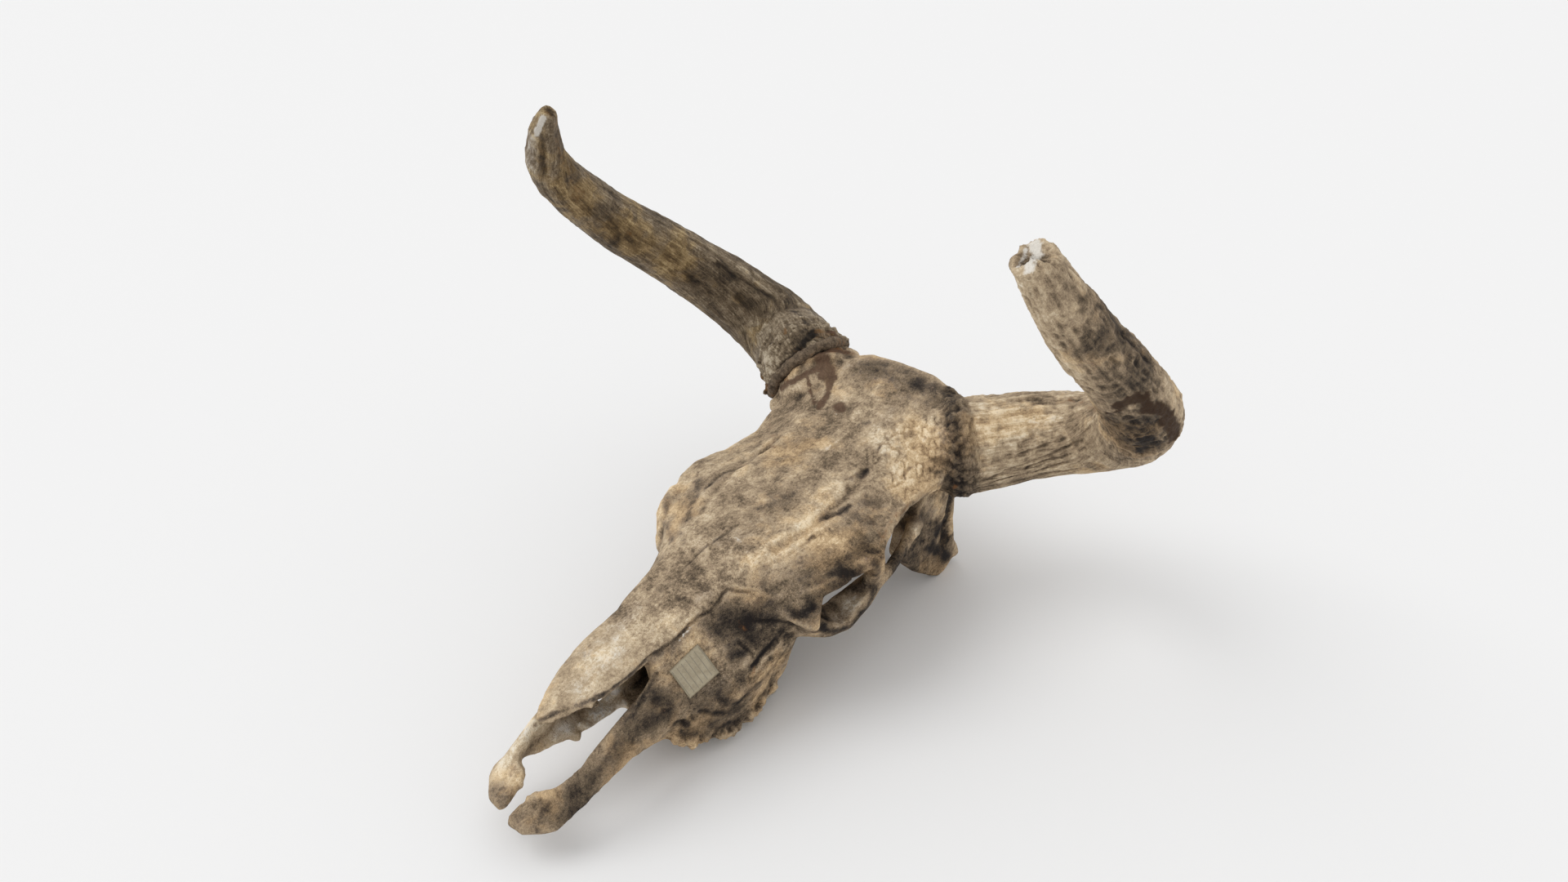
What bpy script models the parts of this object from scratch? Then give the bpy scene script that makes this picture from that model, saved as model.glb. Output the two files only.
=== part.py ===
# Aurochs skull without its lower jaw. One grown mass of bone carries the left horn core, whose end
# is broken off. The right horn core was broken off at its root and set back in a bed of filler.
# Three worn molars stand in each cheek and a paper label is stuck on the left cheek.
# Lengths below are millimetres. +Z is up, the muzzle points to -Y, the animal's left is +X.

import bpy
import bmesh
import math
import numpy as np
from mathutils import Matrix, Vector, noise

MM = 0.001
OBJECT_NAME = "aurochs_skull"

# Driving dimensions of the whole skull.
VOXEL = 3.0
FIT_GAP = 0.35
FLOOR_Z = 0.0

# Horn cores: centre line and radius from the root outwards. The left one stops at its break.
LEFT_HORN = [(62, 222, 208, 40), (113, 247, 214, 60), (184, 315, 224, 56), (255, 330, 245, 50),
             (310, 298, 287, 47), (340, 233, 347, 43), (342, 158, 417, 36), (324, 86, 492, 31),
             (301, 30, 572, 21)]
RIGHT_HORN = [(-100, 240, 240, 48), (-150, 268, 247, 60), (-221, 322, 237, 60), (-272, 326, 263, 56),
              (-313, 288, 313, 49), (-345, 218, 380, 42), (-358, 124, 457, 36), (-348, 38, 540, 28),
              (-325, 14, 592, 19), (-294, 3, 626, 10)]
BURR_KNOBS = [((-114, 310, 268), (9, 9, 9)), ((-170, 217, 212), (9, 11, 9)), ((-140, 216, 262), (8, 7, 8))]
HORN_SIDES = 28
FILLER_SIDES = 30
HORN_STEP = 9.0

# The break of the left horn, as balls cut away: how far along the horn, to its right and to its
# underside each one lies from the end, and its radius.
BREAK_RIGHT = (-0.766, -0.641, 0.035)
BREAK_UNDER = (-0.568, 0.651, -0.503)
BREAK_BALLS = [(2, 9, 8, 12), (11, 25, 2, 19), (24, -20, 0, 21)]

# The break at the right root: a point on the plane, the way the horn leaves it and its filler.
ROOT_POINT = (-138, 262, 243)
ROOT_NORMAL = (-0.78, 0.13, 0.61)
FILLER_THICKNESS = 5.0
FILLER_PROUD = 1.5

# Orbit, nose, mouth and back of the head.
ORBIT_CENTRE = (122, -6, 141)
ORBIT_HALF = (58, 30, 33)
MOLAR_WIDTH = 24.0
MOLARS = [("1", -133, 25, 0.0), ("2", -104, 27, 0.0), ("3", -73, 29, 9.0)]
MOLAR_X = 57.5
MOLAR_TOP = 27.0
SOCKET_FOOT = -30.0
EMPTY_SOCKETS = [(-160, 13), (-177, 12), (-194, 10)]
CONDYLE_CENTRE = (33, 293, 74)
CONDYLE_HALF = (22, 19, 25)
MAGNUM_RADIUS = 19.0

# The throat: floor and roof at each y. The nose cavity: half width, floor and roof at each y.
THROAT = [(110, 20, 74), (30, 20, 80), (-28, 30, 88), (-70, 60, 92)]
NOSE_CAVITY = [(-238, 33, 57, 140), (-180, 34, 54, 150), (-140, 34, 56, 160), (-95, 26, 62, 166)]

# The swelling of the roof that carries each horn core.
SHOULDERS = [((94, 246, 216), (50, 50, 43)), ((-108, 244, 228), (54, 54, 50)),
             ((-99, 294, 256), (24, 17, 19)), ((-148, 208, 207), (16, 14, 12))]

# How much higher the right side of the roof stands than the left, for each millimetre across.
ROOF_LEAN = 0.035
ROOF_FOOT = 150.0

# The label stuck on the left cheek: its middle, the two ways along its edges, and its size.
LABEL_MIDDLE = (63, -186.5, 127)
LABEL_ACROSS = (0.42, 0.24, -0.88)
LABEL_DOWN = (-0.19, -0.94, -0.28)
LABEL_SIZE = (42.0, 41.5)
LABEL_CELLS = 7
LABEL_THICKNESS = 0.5
LABEL_LIFT = 1.1

# Half sections of the head from the middle of the roof round to the middle of the underside, as
# (x, z) at each y. The third and fourth points are the edge of the roof plate.
HEAD_SECTIONS = [
    (288, [(0, 280), (46, 278), (92, 256), (112, 228), (104, 180), (96, 130), (72, 88), (40, 66), (0, 66)]),
    (262, [(0, 283), (60, 279), (112, 257), (126, 226), (98, 184), (92, 128), (62, 76), (30, 62), (0, 64)]),
    (225, [(0, 264), (62, 263), (128, 243), (134, 212), (90, 180), (86, 124), (52, 78), (26, 68), (0, 68)]),
    (180, [(0, 249), (64, 247), (136, 214), (133, 199), (82, 175), (78, 124), (44, 84), (24, 74), (0, 74)]),
    (130, [(0, 236), (60, 235), (125, 206), (122, 192), (74, 170), (68, 124), (36, 92), (20, 82), (0, 82)]),
    (85, [(0, 226), (62, 225), (131, 201), (128, 188), (64, 166), (54, 128), (28, 98), (14, 88), (0, 88)]),
    (40, [(0, 219), (68, 218), (148, 197), (145, 185), (60, 162), (46, 124), (26, 98), (14, 88), (0, 88)]),
    (10, [(0, 214), (68, 213), (146, 191), (144, 178), (60, 160), (46, 122), (28, 92), (16, 80), (0, 84)]),
    (-20, [(0, 209), (62, 208), (130, 184), (130, 171), (64, 156), (52, 118), (40, 84), (24, 62), (0, 74)]),
    (-46, [(0, 204), (54, 203), (113, 181), (115, 164), (98, 142), (93, 112), (77, 78), (36, 50), (0, 60)]),
    (-60, [(0, 201), (51, 200), (102, 178), (108, 155), (100, 130), (95, 92), (79, 44), (37, 38), (0, 54)]),
    (-78, [(0, 199), (48, 198), (86, 174), (98, 148), (94, 112), (86, 70), (74, 24), (38, 32), (0, 50)]),
    (-110, [(0, 193), (44, 191), (64, 170), (84, 142), (92, 106), (87, 64), (75, 12), (40, 26), (0, 42)]),
    (-145, [(0, 186), (41, 183), (54, 164), (72, 140), (84, 106), (81, 62), (72, 10), (40, 26), (0, 40)]),
    (-180, [(0, 179), (40, 174), (48, 159), (62, 139), (74, 106), (73, 66), (66, 18), (38, 30), (0, 42)]),
    (-205, [(0, 173), (38, 166), (44, 156), (54, 138), (66, 104), (66, 72), (60, 30), (36, 38), (0, 46)]),
    (-222, [(0, 169), (40, 161), (42, 152), (49, 134), (60, 104), (61, 76), (56, 48), (36, 48), (0, 52)]),
]

# The nasal bones: half width, height of the middle and drop of the edges at each y.
NASAL_SECTIONS = [(-170, 41, 181, 12), (-215, 42, 173, 13), (-250, 41, 167, 13), (-285, 34, 159, 12),
                  (-312, 24, 152, 9), (-332, 14, 146, 6), (-344, 6, 141, 3)]
NASAL_THICKNESS = 8.0

# Premaxilla of one side: middle, half of the height vector and half thickness at each station.
# The right bar is taller than the left one by its growth above and below.
PREMAXILLA = [((52, -190, 101), (-7, 0, 54), 6), ((50, -225, 100), (-8, 0, 40), 6),
              ((48, -262, 94), (-8, 2, 28), 6), ((47, -300, 84), (-7, 3, 23), 6),
              ((47, -332, 74), (-7, 4, 19), 7), ((42, -350, 65), (-13, 2, 13), 8),
              ((34, -361, 59), (-22, 0, 8), 9), ((27, -373, 54), (-26, -2, 5), 10),
              ((20, -386, 51), (-21, -3, 3), 8), ((16, -395, 49), (-12, -2, 1), 4)]
RIGHT_BAR_GROWTH = 6.0

# How far the two lobes of the muzzle lie off the middle, and where that shift begins and is full.
LOBE_SHIFT = {1: (-8, -3, -10), -1: (-11, 0, -2)}
LOBE_FROM = -330.0
LOBE_RUN = 30.0

# The narrow shelf that is left of the palate along each side of the open muzzle.
PALATE_SHELF = [((42, -195, 47), (13, 0, 1), 6), ((38, -230, 51), (13, 0, 4), 5),
                ((37, -270, 56), (12, 0, 6), 4), ((40, -305, 60), (8, 0, 6), 4),
                ((44, -335, 61), (5, 0, 4), 4)]

# Cheek arch of one side, from the tear bone under the eye back to the ear: middle, half of the
# height vector and half thickness.
CHEEK_ARCH = [((88, -66, 138), (0, -6, 22), 11), ((105, -52, 121), (0, -6, 19), 10),
              ((118, -26, 107), (0, -3, 15), 9), ((125, 4, 102), (0, 0, 12), 7),
              ((127, 30, 110), (0, 0, 12), 6), ((124, 56, 121), (0, 0, 11), 7),
              ((122, 86, 123), (0, 0, 10), 8), ((117, 120, 129), (0, 0, 9), 7),
              ((108, 152, 132), (0, 0, 10), 8), ((97, 178, 128), (0, 0, 14), 12),
              ((80, 198, 126), (0, 0, 22), 16)]
EYE_POST = [((143, 30, 186), (0, 16, 2), 8), ((138, 43, 166), (0, 13, 3), 6),
            ((131, 53, 146), (0, 12, 3), 6), ((125, 58, 130), (0, 13, 4), 6),
            ((122, 54, 116), (0, 15, 3), 6)]
EYE_FLOOR = [((92, -52, 122), (24, 0, -6), 9), ((94, -30, 110), (30, 0, -5), 10),
             ((107, -4, 105), (20, 0, -3), 10), ((109, 24, 109), (18, 0, -3), 9),
             ((111, 48, 113), (17, 0, 0), 8), ((111, 74, 119), (14, 0, 2), 6)]
EYE_FRONT = [((121, -44, 174), (8, -7, 2), 5), ((120, -48, 152), (8, -7, 1), 5),
             ((116, -48, 130), (8, -7, 0), 6), ((110, -46, 112), (8, -6, 0), 7)]
EYE_BACK = [((131, 40, 170), (8, 0, 2), 8), ((125, 44, 150), (8, 0, 2), 8),
            ((119, 48, 130), (8, 0, 2), 8), ((115, 50, 116), (8, 0, 2), 7)]
TEAR_BONE = [((108, -56, 146), (14, 14, 26)), ((100, -56, 128), (12, 12, 22))]
EYE_RIM = [((98, -58, 160), (4, -9, 10), 9), ((111, -52, 171), (5, -7, 7), 8),
           ((124, -36, 178), (4, -6, 6), 8), ((136, -10, 184), (4, 0, 6), 8)]

# Wall in front of the ear hole down to the process behind the jaw joint, seen from the side.
EAR_WALL_OUTLINE = [(150, 92), (172, 62), (200, 34), (232, 10), (252, -2), (268, -1), (282, 10),
                    (297, 5), (302, 15), (286, 42), (278, 84), (282, 128), (284, 176), (250, 190),
                    (205, 172), (168, 128)]
EAR_WALL_TOP_X = 92.0
EAR_WALL_FOOT_X = 84.0
EAR_WALL_HALF = 9.0

# Pterygoid plates beside the inner nostrils.
PTERYGOID = [((26, 118, 84), (0, 4, 9), 4), ((27, 80, 78), (0, 2, 16), 4), ((27, 40, 70), (0, 0, 24), 4),
             ((28, 5, 62), (0, 0, 26), 4), ((31, -30, 54), (0, 0, 22), 6)]

BONE_COLOUR = (0.52, 0.42, 0.28)
HORN_COLOUR = (0.30, 0.25, 0.18)
FILLER_COLOUR = (0.24, 0.11, 0.06)
TOOTH_COLOUR = (0.36, 0.31, 0.24)
PAPER_COLOUR = (0.62, 0.58, 0.47)

COARSE_TARGET = 5400
HORN_TARGET = 1500


def clear_scene():
    for old in list(bpy.data.objects):
        bpy.data.objects.remove(old, do_unlink=True)


def make_collection(name):
    made = bpy.data.collections.new(name)
    bpy.context.scene.collection.children.link(made)
    return made


def make_material(name, colour, roughness):
    made = bpy.data.materials.new(name)
    made.use_nodes = True
    shader = made.node_tree.nodes["Principled BSDF"]
    shader.inputs["Base Color"].default_value = (*colour, 1.0)
    shader.inputs["Roughness"].default_value = roughness
    shader.inputs["Metallic"].default_value = 0.0
    return made


def add_object(name, mesh, group):
    made = bpy.data.objects.new(name, mesh)
    group.objects.link(made)
    return made


def mesh_from_points(name, points, faces):
    mesh = bpy.data.meshes.new(name)
    mesh.from_pydata([tuple(c * MM for c in point) for point in points], [], faces)
    solid = bmesh.new()
    solid.from_mesh(mesh)
    bmesh.ops.recalc_face_normals(solid, faces=solid.faces)
    solid.to_mesh(mesh)
    solid.free()
    return mesh


def loft(name, rings):
    # Unlike sections joined one to the next, with a flat cap at each end.
    count = len(rings[0])
    points = [point for ring in rings for point in ring]
    faces = []
    for level in range(len(rings) - 1):
        here, there = level * count, (level + 1) * count
        for k in range(count):
            nxt = (k + 1) % count
            faces.append((here + k, here + nxt, there + nxt, there + k))
    faces.append(tuple(range(count)))
    faces.append(tuple(range(len(points) - count, len(points))))
    return mesh_from_points(name, points, faces)


def head_rings(sections):
    rings = []
    for y, half in sections:
        right = [(-x, y, z) for x, z in half[1:-1]]
        rings.append([leaned(x, y, z) for x, y, z in [(x, y, z) for x, z in half] + right[::-1]])
    return rings


def leaned(x, y, z):
    # The roof stands a little higher on the right than on the left.
    share = min(1.0, max(0.0, (z - ROOF_FOOT) / 30))
    return x, y, z - ROOF_LEAN * x * share


def strip_rings(stations, side, sides=14):
    # Flat oval sections, square to the way the strip runs.
    middles = [Vector(leaned(side * row[0][0], row[0][1], row[0][2])) for row in stations]
    rings = []
    for index in range(len(stations)):
        tall, thick = stations[index][1:]
        before = middles[max(index - 1, 0)]
        after = middles[min(index + 1, len(middles) - 1)]
        along = (after - before).normalized()
        height = Vector((side * tall[0], tall[1], tall[2]))
        flat = along.cross(height).normalized() * thick
        ring = []
        for k in range(sides):
            turn = 2 * math.pi * k / sides
            ring.append(tuple(middles[index] + height * math.cos(turn) + flat * math.sin(turn)))
        rings.append(ring)
    return rings


def smooth_line(points, step):
    # A Catmull-Rom line through the points, read about every step.
    rows = [Vector(point) for point in points]
    rows = [rows[0] * 2 - rows[1]] + rows + [rows[-1] * 2 - rows[-2]]
    line = []
    for a, b, c, d in zip(rows, rows[1:], rows[2:], rows[3:]):
        parts = max(2, int((c.xyz - b.xyz).length / step))
        for k in range(parts):
            t = k / parts
            line.append(0.5 * (2 * b + (c - a) * t + (2 * a - 5 * b + 4 * c - d) * t ** 2
                               + (3 * b - a - 3 * c + d) * t ** 3))
    line.append(rows[-2])
    return line


def horn_mesh(name, stations, group):
    # A bevelled curve whose radius tapers, turned into a closed mesh.
    line = smooth_line(stations, HORN_STEP)
    curve = bpy.data.curves.new(name, "CURVE")
    curve.dimensions = "3D"
    curve.bevel_depth = MM
    curve.bevel_resolution = HORN_SIDES // 4 - 1
    curve.use_fill_caps = True
    spline = curve.splines.new("POLY")
    spline.points.add(len(line) - 1)
    for point, row in zip(spline.points, line):
        point.co = (*[c * MM for c in row[:3]], 1.0)
        point.radius = row[3]
    holder = add_object(name, curve, group)
    bpy.context.view_layer.update()
    mesh = bpy.data.meshes.new_from_object(holder.evaluated_get(bpy.context.evaluated_depsgraph_get()))
    bpy.data.objects.remove(holder, do_unlink=True)
    solid = bmesh.new()
    solid.from_mesh(mesh)
    bmesh.ops.remove_doubles(solid, verts=solid.verts, dist=0.0001)
    bmesh.ops.recalc_face_normals(solid, faces=solid.faces)
    solid.to_mesh(mesh)
    solid.free()
    return mesh


def ball_mesh(name, centre, half, subdivisions=3, turn=None):
    solid = bmesh.new()
    bmesh.ops.create_icosphere(solid, subdivisions=subdivisions, radius=1.0)
    shape = Matrix.Diagonal((*[c * MM for c in half], 1.0))
    turned = turn.to_4x4() if turn else Matrix.Identity(4)
    place = Matrix.Translation([c * MM for c in centre])
    bmesh.ops.transform(solid, matrix=place @ turned @ shape, verts=solid.verts)
    mesh = bpy.data.meshes.new(name)
    solid.to_mesh(mesh)
    solid.free()
    return mesh


def box_mesh(name, low, high):
    solid = bmesh.new()
    bmesh.ops.create_cube(solid, size=1.0)
    size = [(b - a) * MM for a, b in zip(low, high)]
    middle = [(a + b) / 2 * MM for a, b in zip(low, high)]
    place = Matrix.Translation(middle) @ Matrix.Diagonal((*size, 1.0))
    bmesh.ops.transform(solid, matrix=place, verts=solid.verts)
    mesh = bpy.data.meshes.new(name)
    solid.to_mesh(mesh)
    solid.free()
    return mesh


def rod_mesh(name, start, end, radius_start, radius_end, sides=20):
    start, end = Vector(start) * MM, Vector(end) * MM
    solid = bmesh.new()
    bmesh.ops.create_cone(solid, cap_ends=True, segments=sides, radius1=radius_start * MM,
                          radius2=radius_end * MM, depth=(end - start).length)
    turn = (end - start).to_track_quat("Z", "Y").to_matrix().to_4x4()
    bmesh.ops.transform(solid, matrix=Matrix.Translation((start + end) / 2) @ turn, verts=solid.verts)
    mesh = bpy.data.meshes.new(name)
    solid.to_mesh(mesh)
    solid.free()
    return mesh


def joined(name, meshes):
    # Several closed shells in one mesh. A voxel remesh afterwards makes them one body.
    solid = bmesh.new()
    for mesh in meshes:
        solid.from_mesh(mesh)
    made = bpy.data.meshes.new(name)
    solid.to_mesh(made)
    solid.free()
    return made


def applied(holder):
    # The object's own mesh becomes what its modifiers make of it.
    bpy.context.view_layer.update()
    made = bpy.data.meshes.new_from_object(holder.evaluated_get(bpy.context.evaluated_depsgraph_get()))
    holder.modifiers.clear()
    holder.data = made
    return holder


def remesh(holder, voxel, rounds):
    grid = holder.modifiers.new("fuse", "REMESH")
    grid.mode = "VOXEL"
    grid.voxel_size = voxel * MM
    soft = holder.modifiers.new("soften", "SMOOTH")
    soft.factor = 0.5
    soft.iterations = rounds
    return applied(holder)


def cut(holder, cutters, group):
    for index, mesh in enumerate(cutters):
        tool = add_object("cutter_%s_%d" % (holder.name, index), mesh, group)
        tool.hide_render = True
        tool.display_type = "WIRE"
        knife = holder.modifiers.new("cut_%d" % index, "BOOLEAN")
        knife.operation = "DIFFERENCE"
        knife.solver = "EXACT"
        knife.object = tool
    return applied(holder)


def largest_body(holder):
    # Only the biggest connected piece is bone: chips left by the cuts are dropped.
    solid = bmesh.new()
    solid.from_mesh(holder.data)
    bmesh.ops.remove_doubles(solid, verts=solid.verts, dist=0.00002)
    left = set(solid.verts)
    bodies = []
    while left:
        seed = left.pop()
        body, edge = {seed}, [seed]
        while edge:
            vert = edge.pop()
            for link in vert.link_edges:
                other = link.other_vert(vert)
                if other in left:
                    left.discard(other)
                    body.add(other)
                    edge.append(other)
        bodies.append(body)
    bodies.sort(key=len, reverse=True)
    for body in bodies[1:]:
        bmesh.ops.delete(solid, geom=list(body), context="VERTS")
    solid.to_mesh(holder.data)
    solid.free()


def reduce_to(holder, triangles):
    solid = bmesh.new()
    solid.from_mesh(holder.data)
    bmesh.ops.triangulate(solid, faces=solid.faces)
    solid.to_mesh(holder.data)
    solid.free()
    thin = holder.modifiers.new("thin", "DECIMATE")
    thin.ratio = min(1.0, triangles / len(holder.data.polygons))
    applied(holder)
    largest_body(holder)


def along_line(points, line):
    # Place along a horn, distance from its middle and turn round it for each point.
    middles = np.array([row[:3] for row in line])
    steps = np.linalg.norm(np.diff(middles, axis=0), axis=1)
    run = np.concatenate([[0.0], np.cumsum(steps)])
    gaps = points[:, None, :] - middles[None, :, :]
    nearest = (gaps ** 2).sum(axis=2).argmin(axis=1)
    way = np.gradient(middles, axis=0)
    way /= np.linalg.norm(way, axis=1)[:, None]
    out = points - middles[nearest]
    forward = (out * way[nearest]).sum(axis=1)
    out -= forward[:, None] * way[nearest]
    far = np.linalg.norm(out, axis=1)
    side = np.cross(way[nearest], np.array([0.0, 0.0, 1.0]))
    side /= np.linalg.norm(side, axis=1)[:, None]
    top = np.cross(side, way[nearest])
    turn = np.arctan2((out * side).sum(axis=1), (out * top).sum(axis=1))
    return run[nearest] + forward, far, turn, np.array([row[3] for row in line])[nearest]


def bump(points, size, seed):
    return np.array([noise.noise(Vector((p[0] / size + seed, p[1] / size, p[2] / size))) for p in points])


def groove(points, path, width):
    # How deep each point lies in a groove along the path, from 0 to 1.
    depth = np.zeros(len(points))
    for a, b in zip(path, path[1:]):
        a, b = np.array(a, float), np.array(b, float)
        t = np.clip(((points - a) @ (b - a)) / ((b - a) @ (b - a)), 0, 1)
        gap = np.linalg.norm(points - a - t[:, None] * (b - a), axis=1)
        depth = np.maximum(depth, np.exp(-(gap / width) ** 2))
    return depth


def horn_relief(points, stations, root_at, root_end):
    # Long grooves on the horn core, knobs round its root and a worn, uneven surface.
    run, far, turn, radius = along_line(points, smooth_line(stations, HORN_STEP))
    on_horn = (far < radius * 1.35) & (run > root_at - 25)
    fade = np.exp(-((run - root_at - 140) / 150) ** 2)
    flutes = -1.8 * fade * np.maximum(0, np.sin(turn * 9 + 0.8 * np.sin(run / 60))) ** 2
    knobs = np.exp(-((run - root_at) / 11) ** 2) * (3.5 + 6 * bump(points, 11, 3.1))
    worn = 1.4 * bump(points, 34, 7.7) + 0.9 * bump(points, 15, 1.9)
    height = np.where(on_horn & (run > root_at + 12), flutes + worn, 0.0)
    height += np.where(on_horn & (run < root_end), knobs, 0.0)
    return height


def skull_relief(points):
    # The furrows over the eyes, the seams of the face and the hollows of the roof.
    height = 1.1 * bump(points, 46, 5.3) + 0.6 * bump(points, 19, 2.2)
    for side in (-1, 1):
        furrow = [(side * 66, 112, 226), (side * 72, 60, 216), (side * 70, 5, 210), (side * 58, -42, 200)]
        height -= 5.0 * groove(points, furrow, 6)
        seam = [(side * 43, -60, 182), (side * 41, -120, 176),
                (side * 40, -180, 164), (side * 40, -222, 157)]
        height -= 3.0 * groove(points, seam, 4)
        crest = [(side * 90, -70, 104), (side * 90, -110, 84), (side * 80, -150, 70)]
        height += 4.0 * groove(points, crest, 10)
        hollow = [(side * 104, 272, 150), (side * 100, 262, 100), (side * 96, 258, 60)]
        height -= 7.0 * groove(points, hollow, 12)
        brow = [(side * 118, 175, 206), (side * 112, 120, 200)]
        height -= 2.0 * groove(points, brow, 12)
    height += 2.5 * groove(points, [(0, 240, 262), (0, 120, 232), (0, 10, 213)], 12)
    height += 5.0 * groove(points, [(-84, 288, 266), (0, 290, 274), (84, 288, 262)], 12)
    return height


def sculpt(holder, relief):
    mesh = holder.data
    points = np.empty(len(mesh.vertices) * 3)
    mesh.vertices.foreach_get("co", points)
    points = points.reshape(-1, 3) / MM
    normals = np.empty(len(points) * 3)
    mesh.vertices.foreach_get("normal", normals)
    points = points + normals.reshape(-1, 3) * relief(points)[:, None]
    mesh.vertices.foreach_set("co", (points * MM).ravel())
    mesh.update()


def ear_wall(side):
    outer, inner = [], []
    for y, z in EAR_WALL_OUTLINE:
        share = z / 190
        x = EAR_WALL_FOOT_X + (EAR_WALL_TOP_X - EAR_WALL_FOOT_X) * share
        outer.append((side * (x + EAR_WALL_HALF), y, z))
        inner.append((side * (x - EAR_WALL_HALF - 10 * share), y, z))
    return loft("ear_wall", [outer, inner])


def nasal_vault():
    rings = []
    for y, half, top, drop in NASAL_SECTIONS:
        turns = np.linspace(-math.pi / 2, math.pi / 2, 9)
        upper = [(half * math.sin(t), y, top - drop * (1 - math.cos(t))) for t in turns]
        lower = [(0.9 * x, y, z - NASAL_THICKNESS) for x, y, z in upper[::-1]]
        rings.append([tuple(float(c) for c in point) for point in upper + lower])
    return loft("nasal", rings)


def premaxilla(side):
    stations = []
    for (x, y, z), tall, thick in PREMAXILLA:
        share = min(1.0, max(0.0, (LOBE_FROM - y) / LOBE_RUN))
        dx, dy, dz = [part * share for part in LOBE_SHIFT[side]]
        growth = RIGHT_BAR_GROWTH * (1 - share) if side < 0 else 0.0
        height = (tall[0], tall[1], tall[2] + growth)
        stations.append(((x + side * dx, y + dy, z + dz), height, thick))
    return loft("premaxilla", strip_rings(stations, side))


def build_cranium(parts, cutters):
    shells = [loft("head", head_rings(HEAD_SECTIONS)), nasal_vault()]
    shells.append(horn_mesh("left_horn", LEFT_HORN, parts))
    shells.append(horn_mesh("right_root", RIGHT_HORN[:4], parts))
    for centre, half in SHOULDERS:
        shells.append(ball_mesh("shoulder", centre, half))
    for side in (-1, 1):
        shells.append(premaxilla(side))
        for stations in (CHEEK_ARCH, EYE_POST, EYE_RIM, EYE_FLOOR, EYE_FRONT, EYE_BACK, PTERYGOID,
                         PALATE_SHELF):
            shells.append(loft("strip", strip_rings(stations, side)))
        shells.append(ear_wall(side))
        for (x, y, z), half in [*TEAR_BONE, (CONDYLE_CENTRE, CONDYLE_HALF)]:
            shells.append(ball_mesh("swelling", (side * x, y, z), half))
    cranium = add_object("cranium", joined("cranium", shells), parts)
    remesh(cranium, VOXEL, 4)

    holes = [beyond_root("right_rough", -4)]
    holes.append(loft("nose", [[(-w, y, low), (w, y, low), (w, y, (low + high) / 2), (w * 0.72, y, high),
                                (-w * 0.72, y, high), (-w, y, (low + high) / 2)]
                               for y, w, low, high in NOSE_CAVITY]))
    holes.append(loft("throat", [[(-19, y, low), (19, y, low), (15, y, high), (-15, y, high)]
                                 for y, low, high in THROAT]))
    holes.append(rod_mesh("magnum", (0, 330, 92), (0, 225, 112), MAGNUM_RADIUS, MAGNUM_RADIUS))
    for side in (-1, 1):
        x, y, z = ORBIT_CENTRE
        turn = Matrix.Rotation(side * math.radians(-18), 3, "Z")
        holes.append(ball_mesh("orbit", (side * x, y, z), ORBIT_HALF, 4, turn))
        holes.append(ball_mesh("front_foramen", (side * 72, -203, 70), (9, 9, 7)))
        holes.append(ball_mesh("ear_hole", (side * 106, 236, 96), (8, 9, 8)))
        holes.append(ball_mesh("brow_pit", (side * 66, 84, 224), (5, 9, 9)))
    tip = Vector(LEFT_HORN[-1][:3])
    way = (tip - Vector(LEFT_HORN[-2][:3])).normalized()
    for along, right, under, radius in BREAK_BALLS:
        middle = tip + way * along + Vector(BREAK_RIGHT) * right + Vector(BREAK_UNDER) * under
        holes.append(ball_mesh("break", tuple(middle), (radius, radius, radius)))
    cut(cranium, holes, cutters)
    largest_body(cranium)
    remesh(cranium, VOXEL, 2)

    roots = smooth_line(LEFT_HORN, HORN_STEP)
    root_at = sum((b.xyz - a.xyz).length for a, b in zip(roots, roots[1:]) if a[0] < LEFT_HORN[1][0])
    sculpt(cranium, lambda p: skull_relief(p) * (p[:, 0] < 150) + horn_relief(p, LEFT_HORN, root_at, 150))
    reduce_to(cranium, COARSE_TARGET)

    trims = [box_mesh("floor", (-260, -460, -60), (260, 460, FLOOR_Z))]
    trims.append(beyond_root("root_face", 0))
    for side in (-1, 1):
        for molar in MOLARS:
            trims.append(molar_mesh(side, molar[1], molar[2], SOCKET_FOOT, FIT_GAP))
        for y, half in EMPTY_SOCKETS:
            trims.append(ball_mesh("socket", (side * 55, y, 12), (8, 7, 24), 2))
    cut(cranium, trims, cutters)
    largest_body(cranium)
    return cranium


def root_frame():
    out = Vector(ROOT_NORMAL).normalized()
    across = out.orthogonal().normalized()
    return Vector(ROOT_POINT), out, across, out.cross(across)


def beyond_root(name, level, way=1):
    # All that lies past the break in the right root, or before it where way is -1.
    root, out = root_frame()[:2]
    start = root + out * level
    return rod_mesh(name, start, start + out * way * 500, 600, 600, 24)


def molar_outline(length, width, grow):
    # Two rounded lobes side by side, as the crown of an upper molar is in plan.
    points = []
    for lobe in (-1, 1):
        for k in range(7):
            turn = math.pi * (k / 6 - 0.5) + (0 if lobe > 0 else math.pi)
            y = lobe * length * 0.22 + (length * 0.28 + grow) * math.cos(turn)
            x = (width * 0.5 + grow) * math.sin(turn) * (0.94 if abs(math.cos(turn)) < 0.3 else 1.0)
            points.append((x, y))
        points.append((lobe * (width * 0.40 + grow), 0.0))
    return points


def molar_mesh(side, y, length, foot, grow):
    outline = molar_outline(length, MOLAR_WIDTH, grow)
    levels = [(foot, 0.92), (max(foot, 0) + 6, 1.0), (MOLAR_TOP + grow, 0.9)]
    if grow:
        levels = [(foot, 1.0), (MOLAR_TOP + grow, 1.0)]
    rings = [[(side * (MOLAR_X + x * s), y + v * s, z) for x, v in outline] for z, s in levels]
    return loft("molar", rings)


def build_molars(parts):
    made = []
    for side, side_name in ((1, "left"), (-1, "right")):
        for name, y, length, foot in MOLARS:
            label = "%s_molar_%s" % (side_name, name)
            made.append(add_object(label, molar_mesh(side, y, length, foot, 0.0), parts))
    return made


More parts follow.
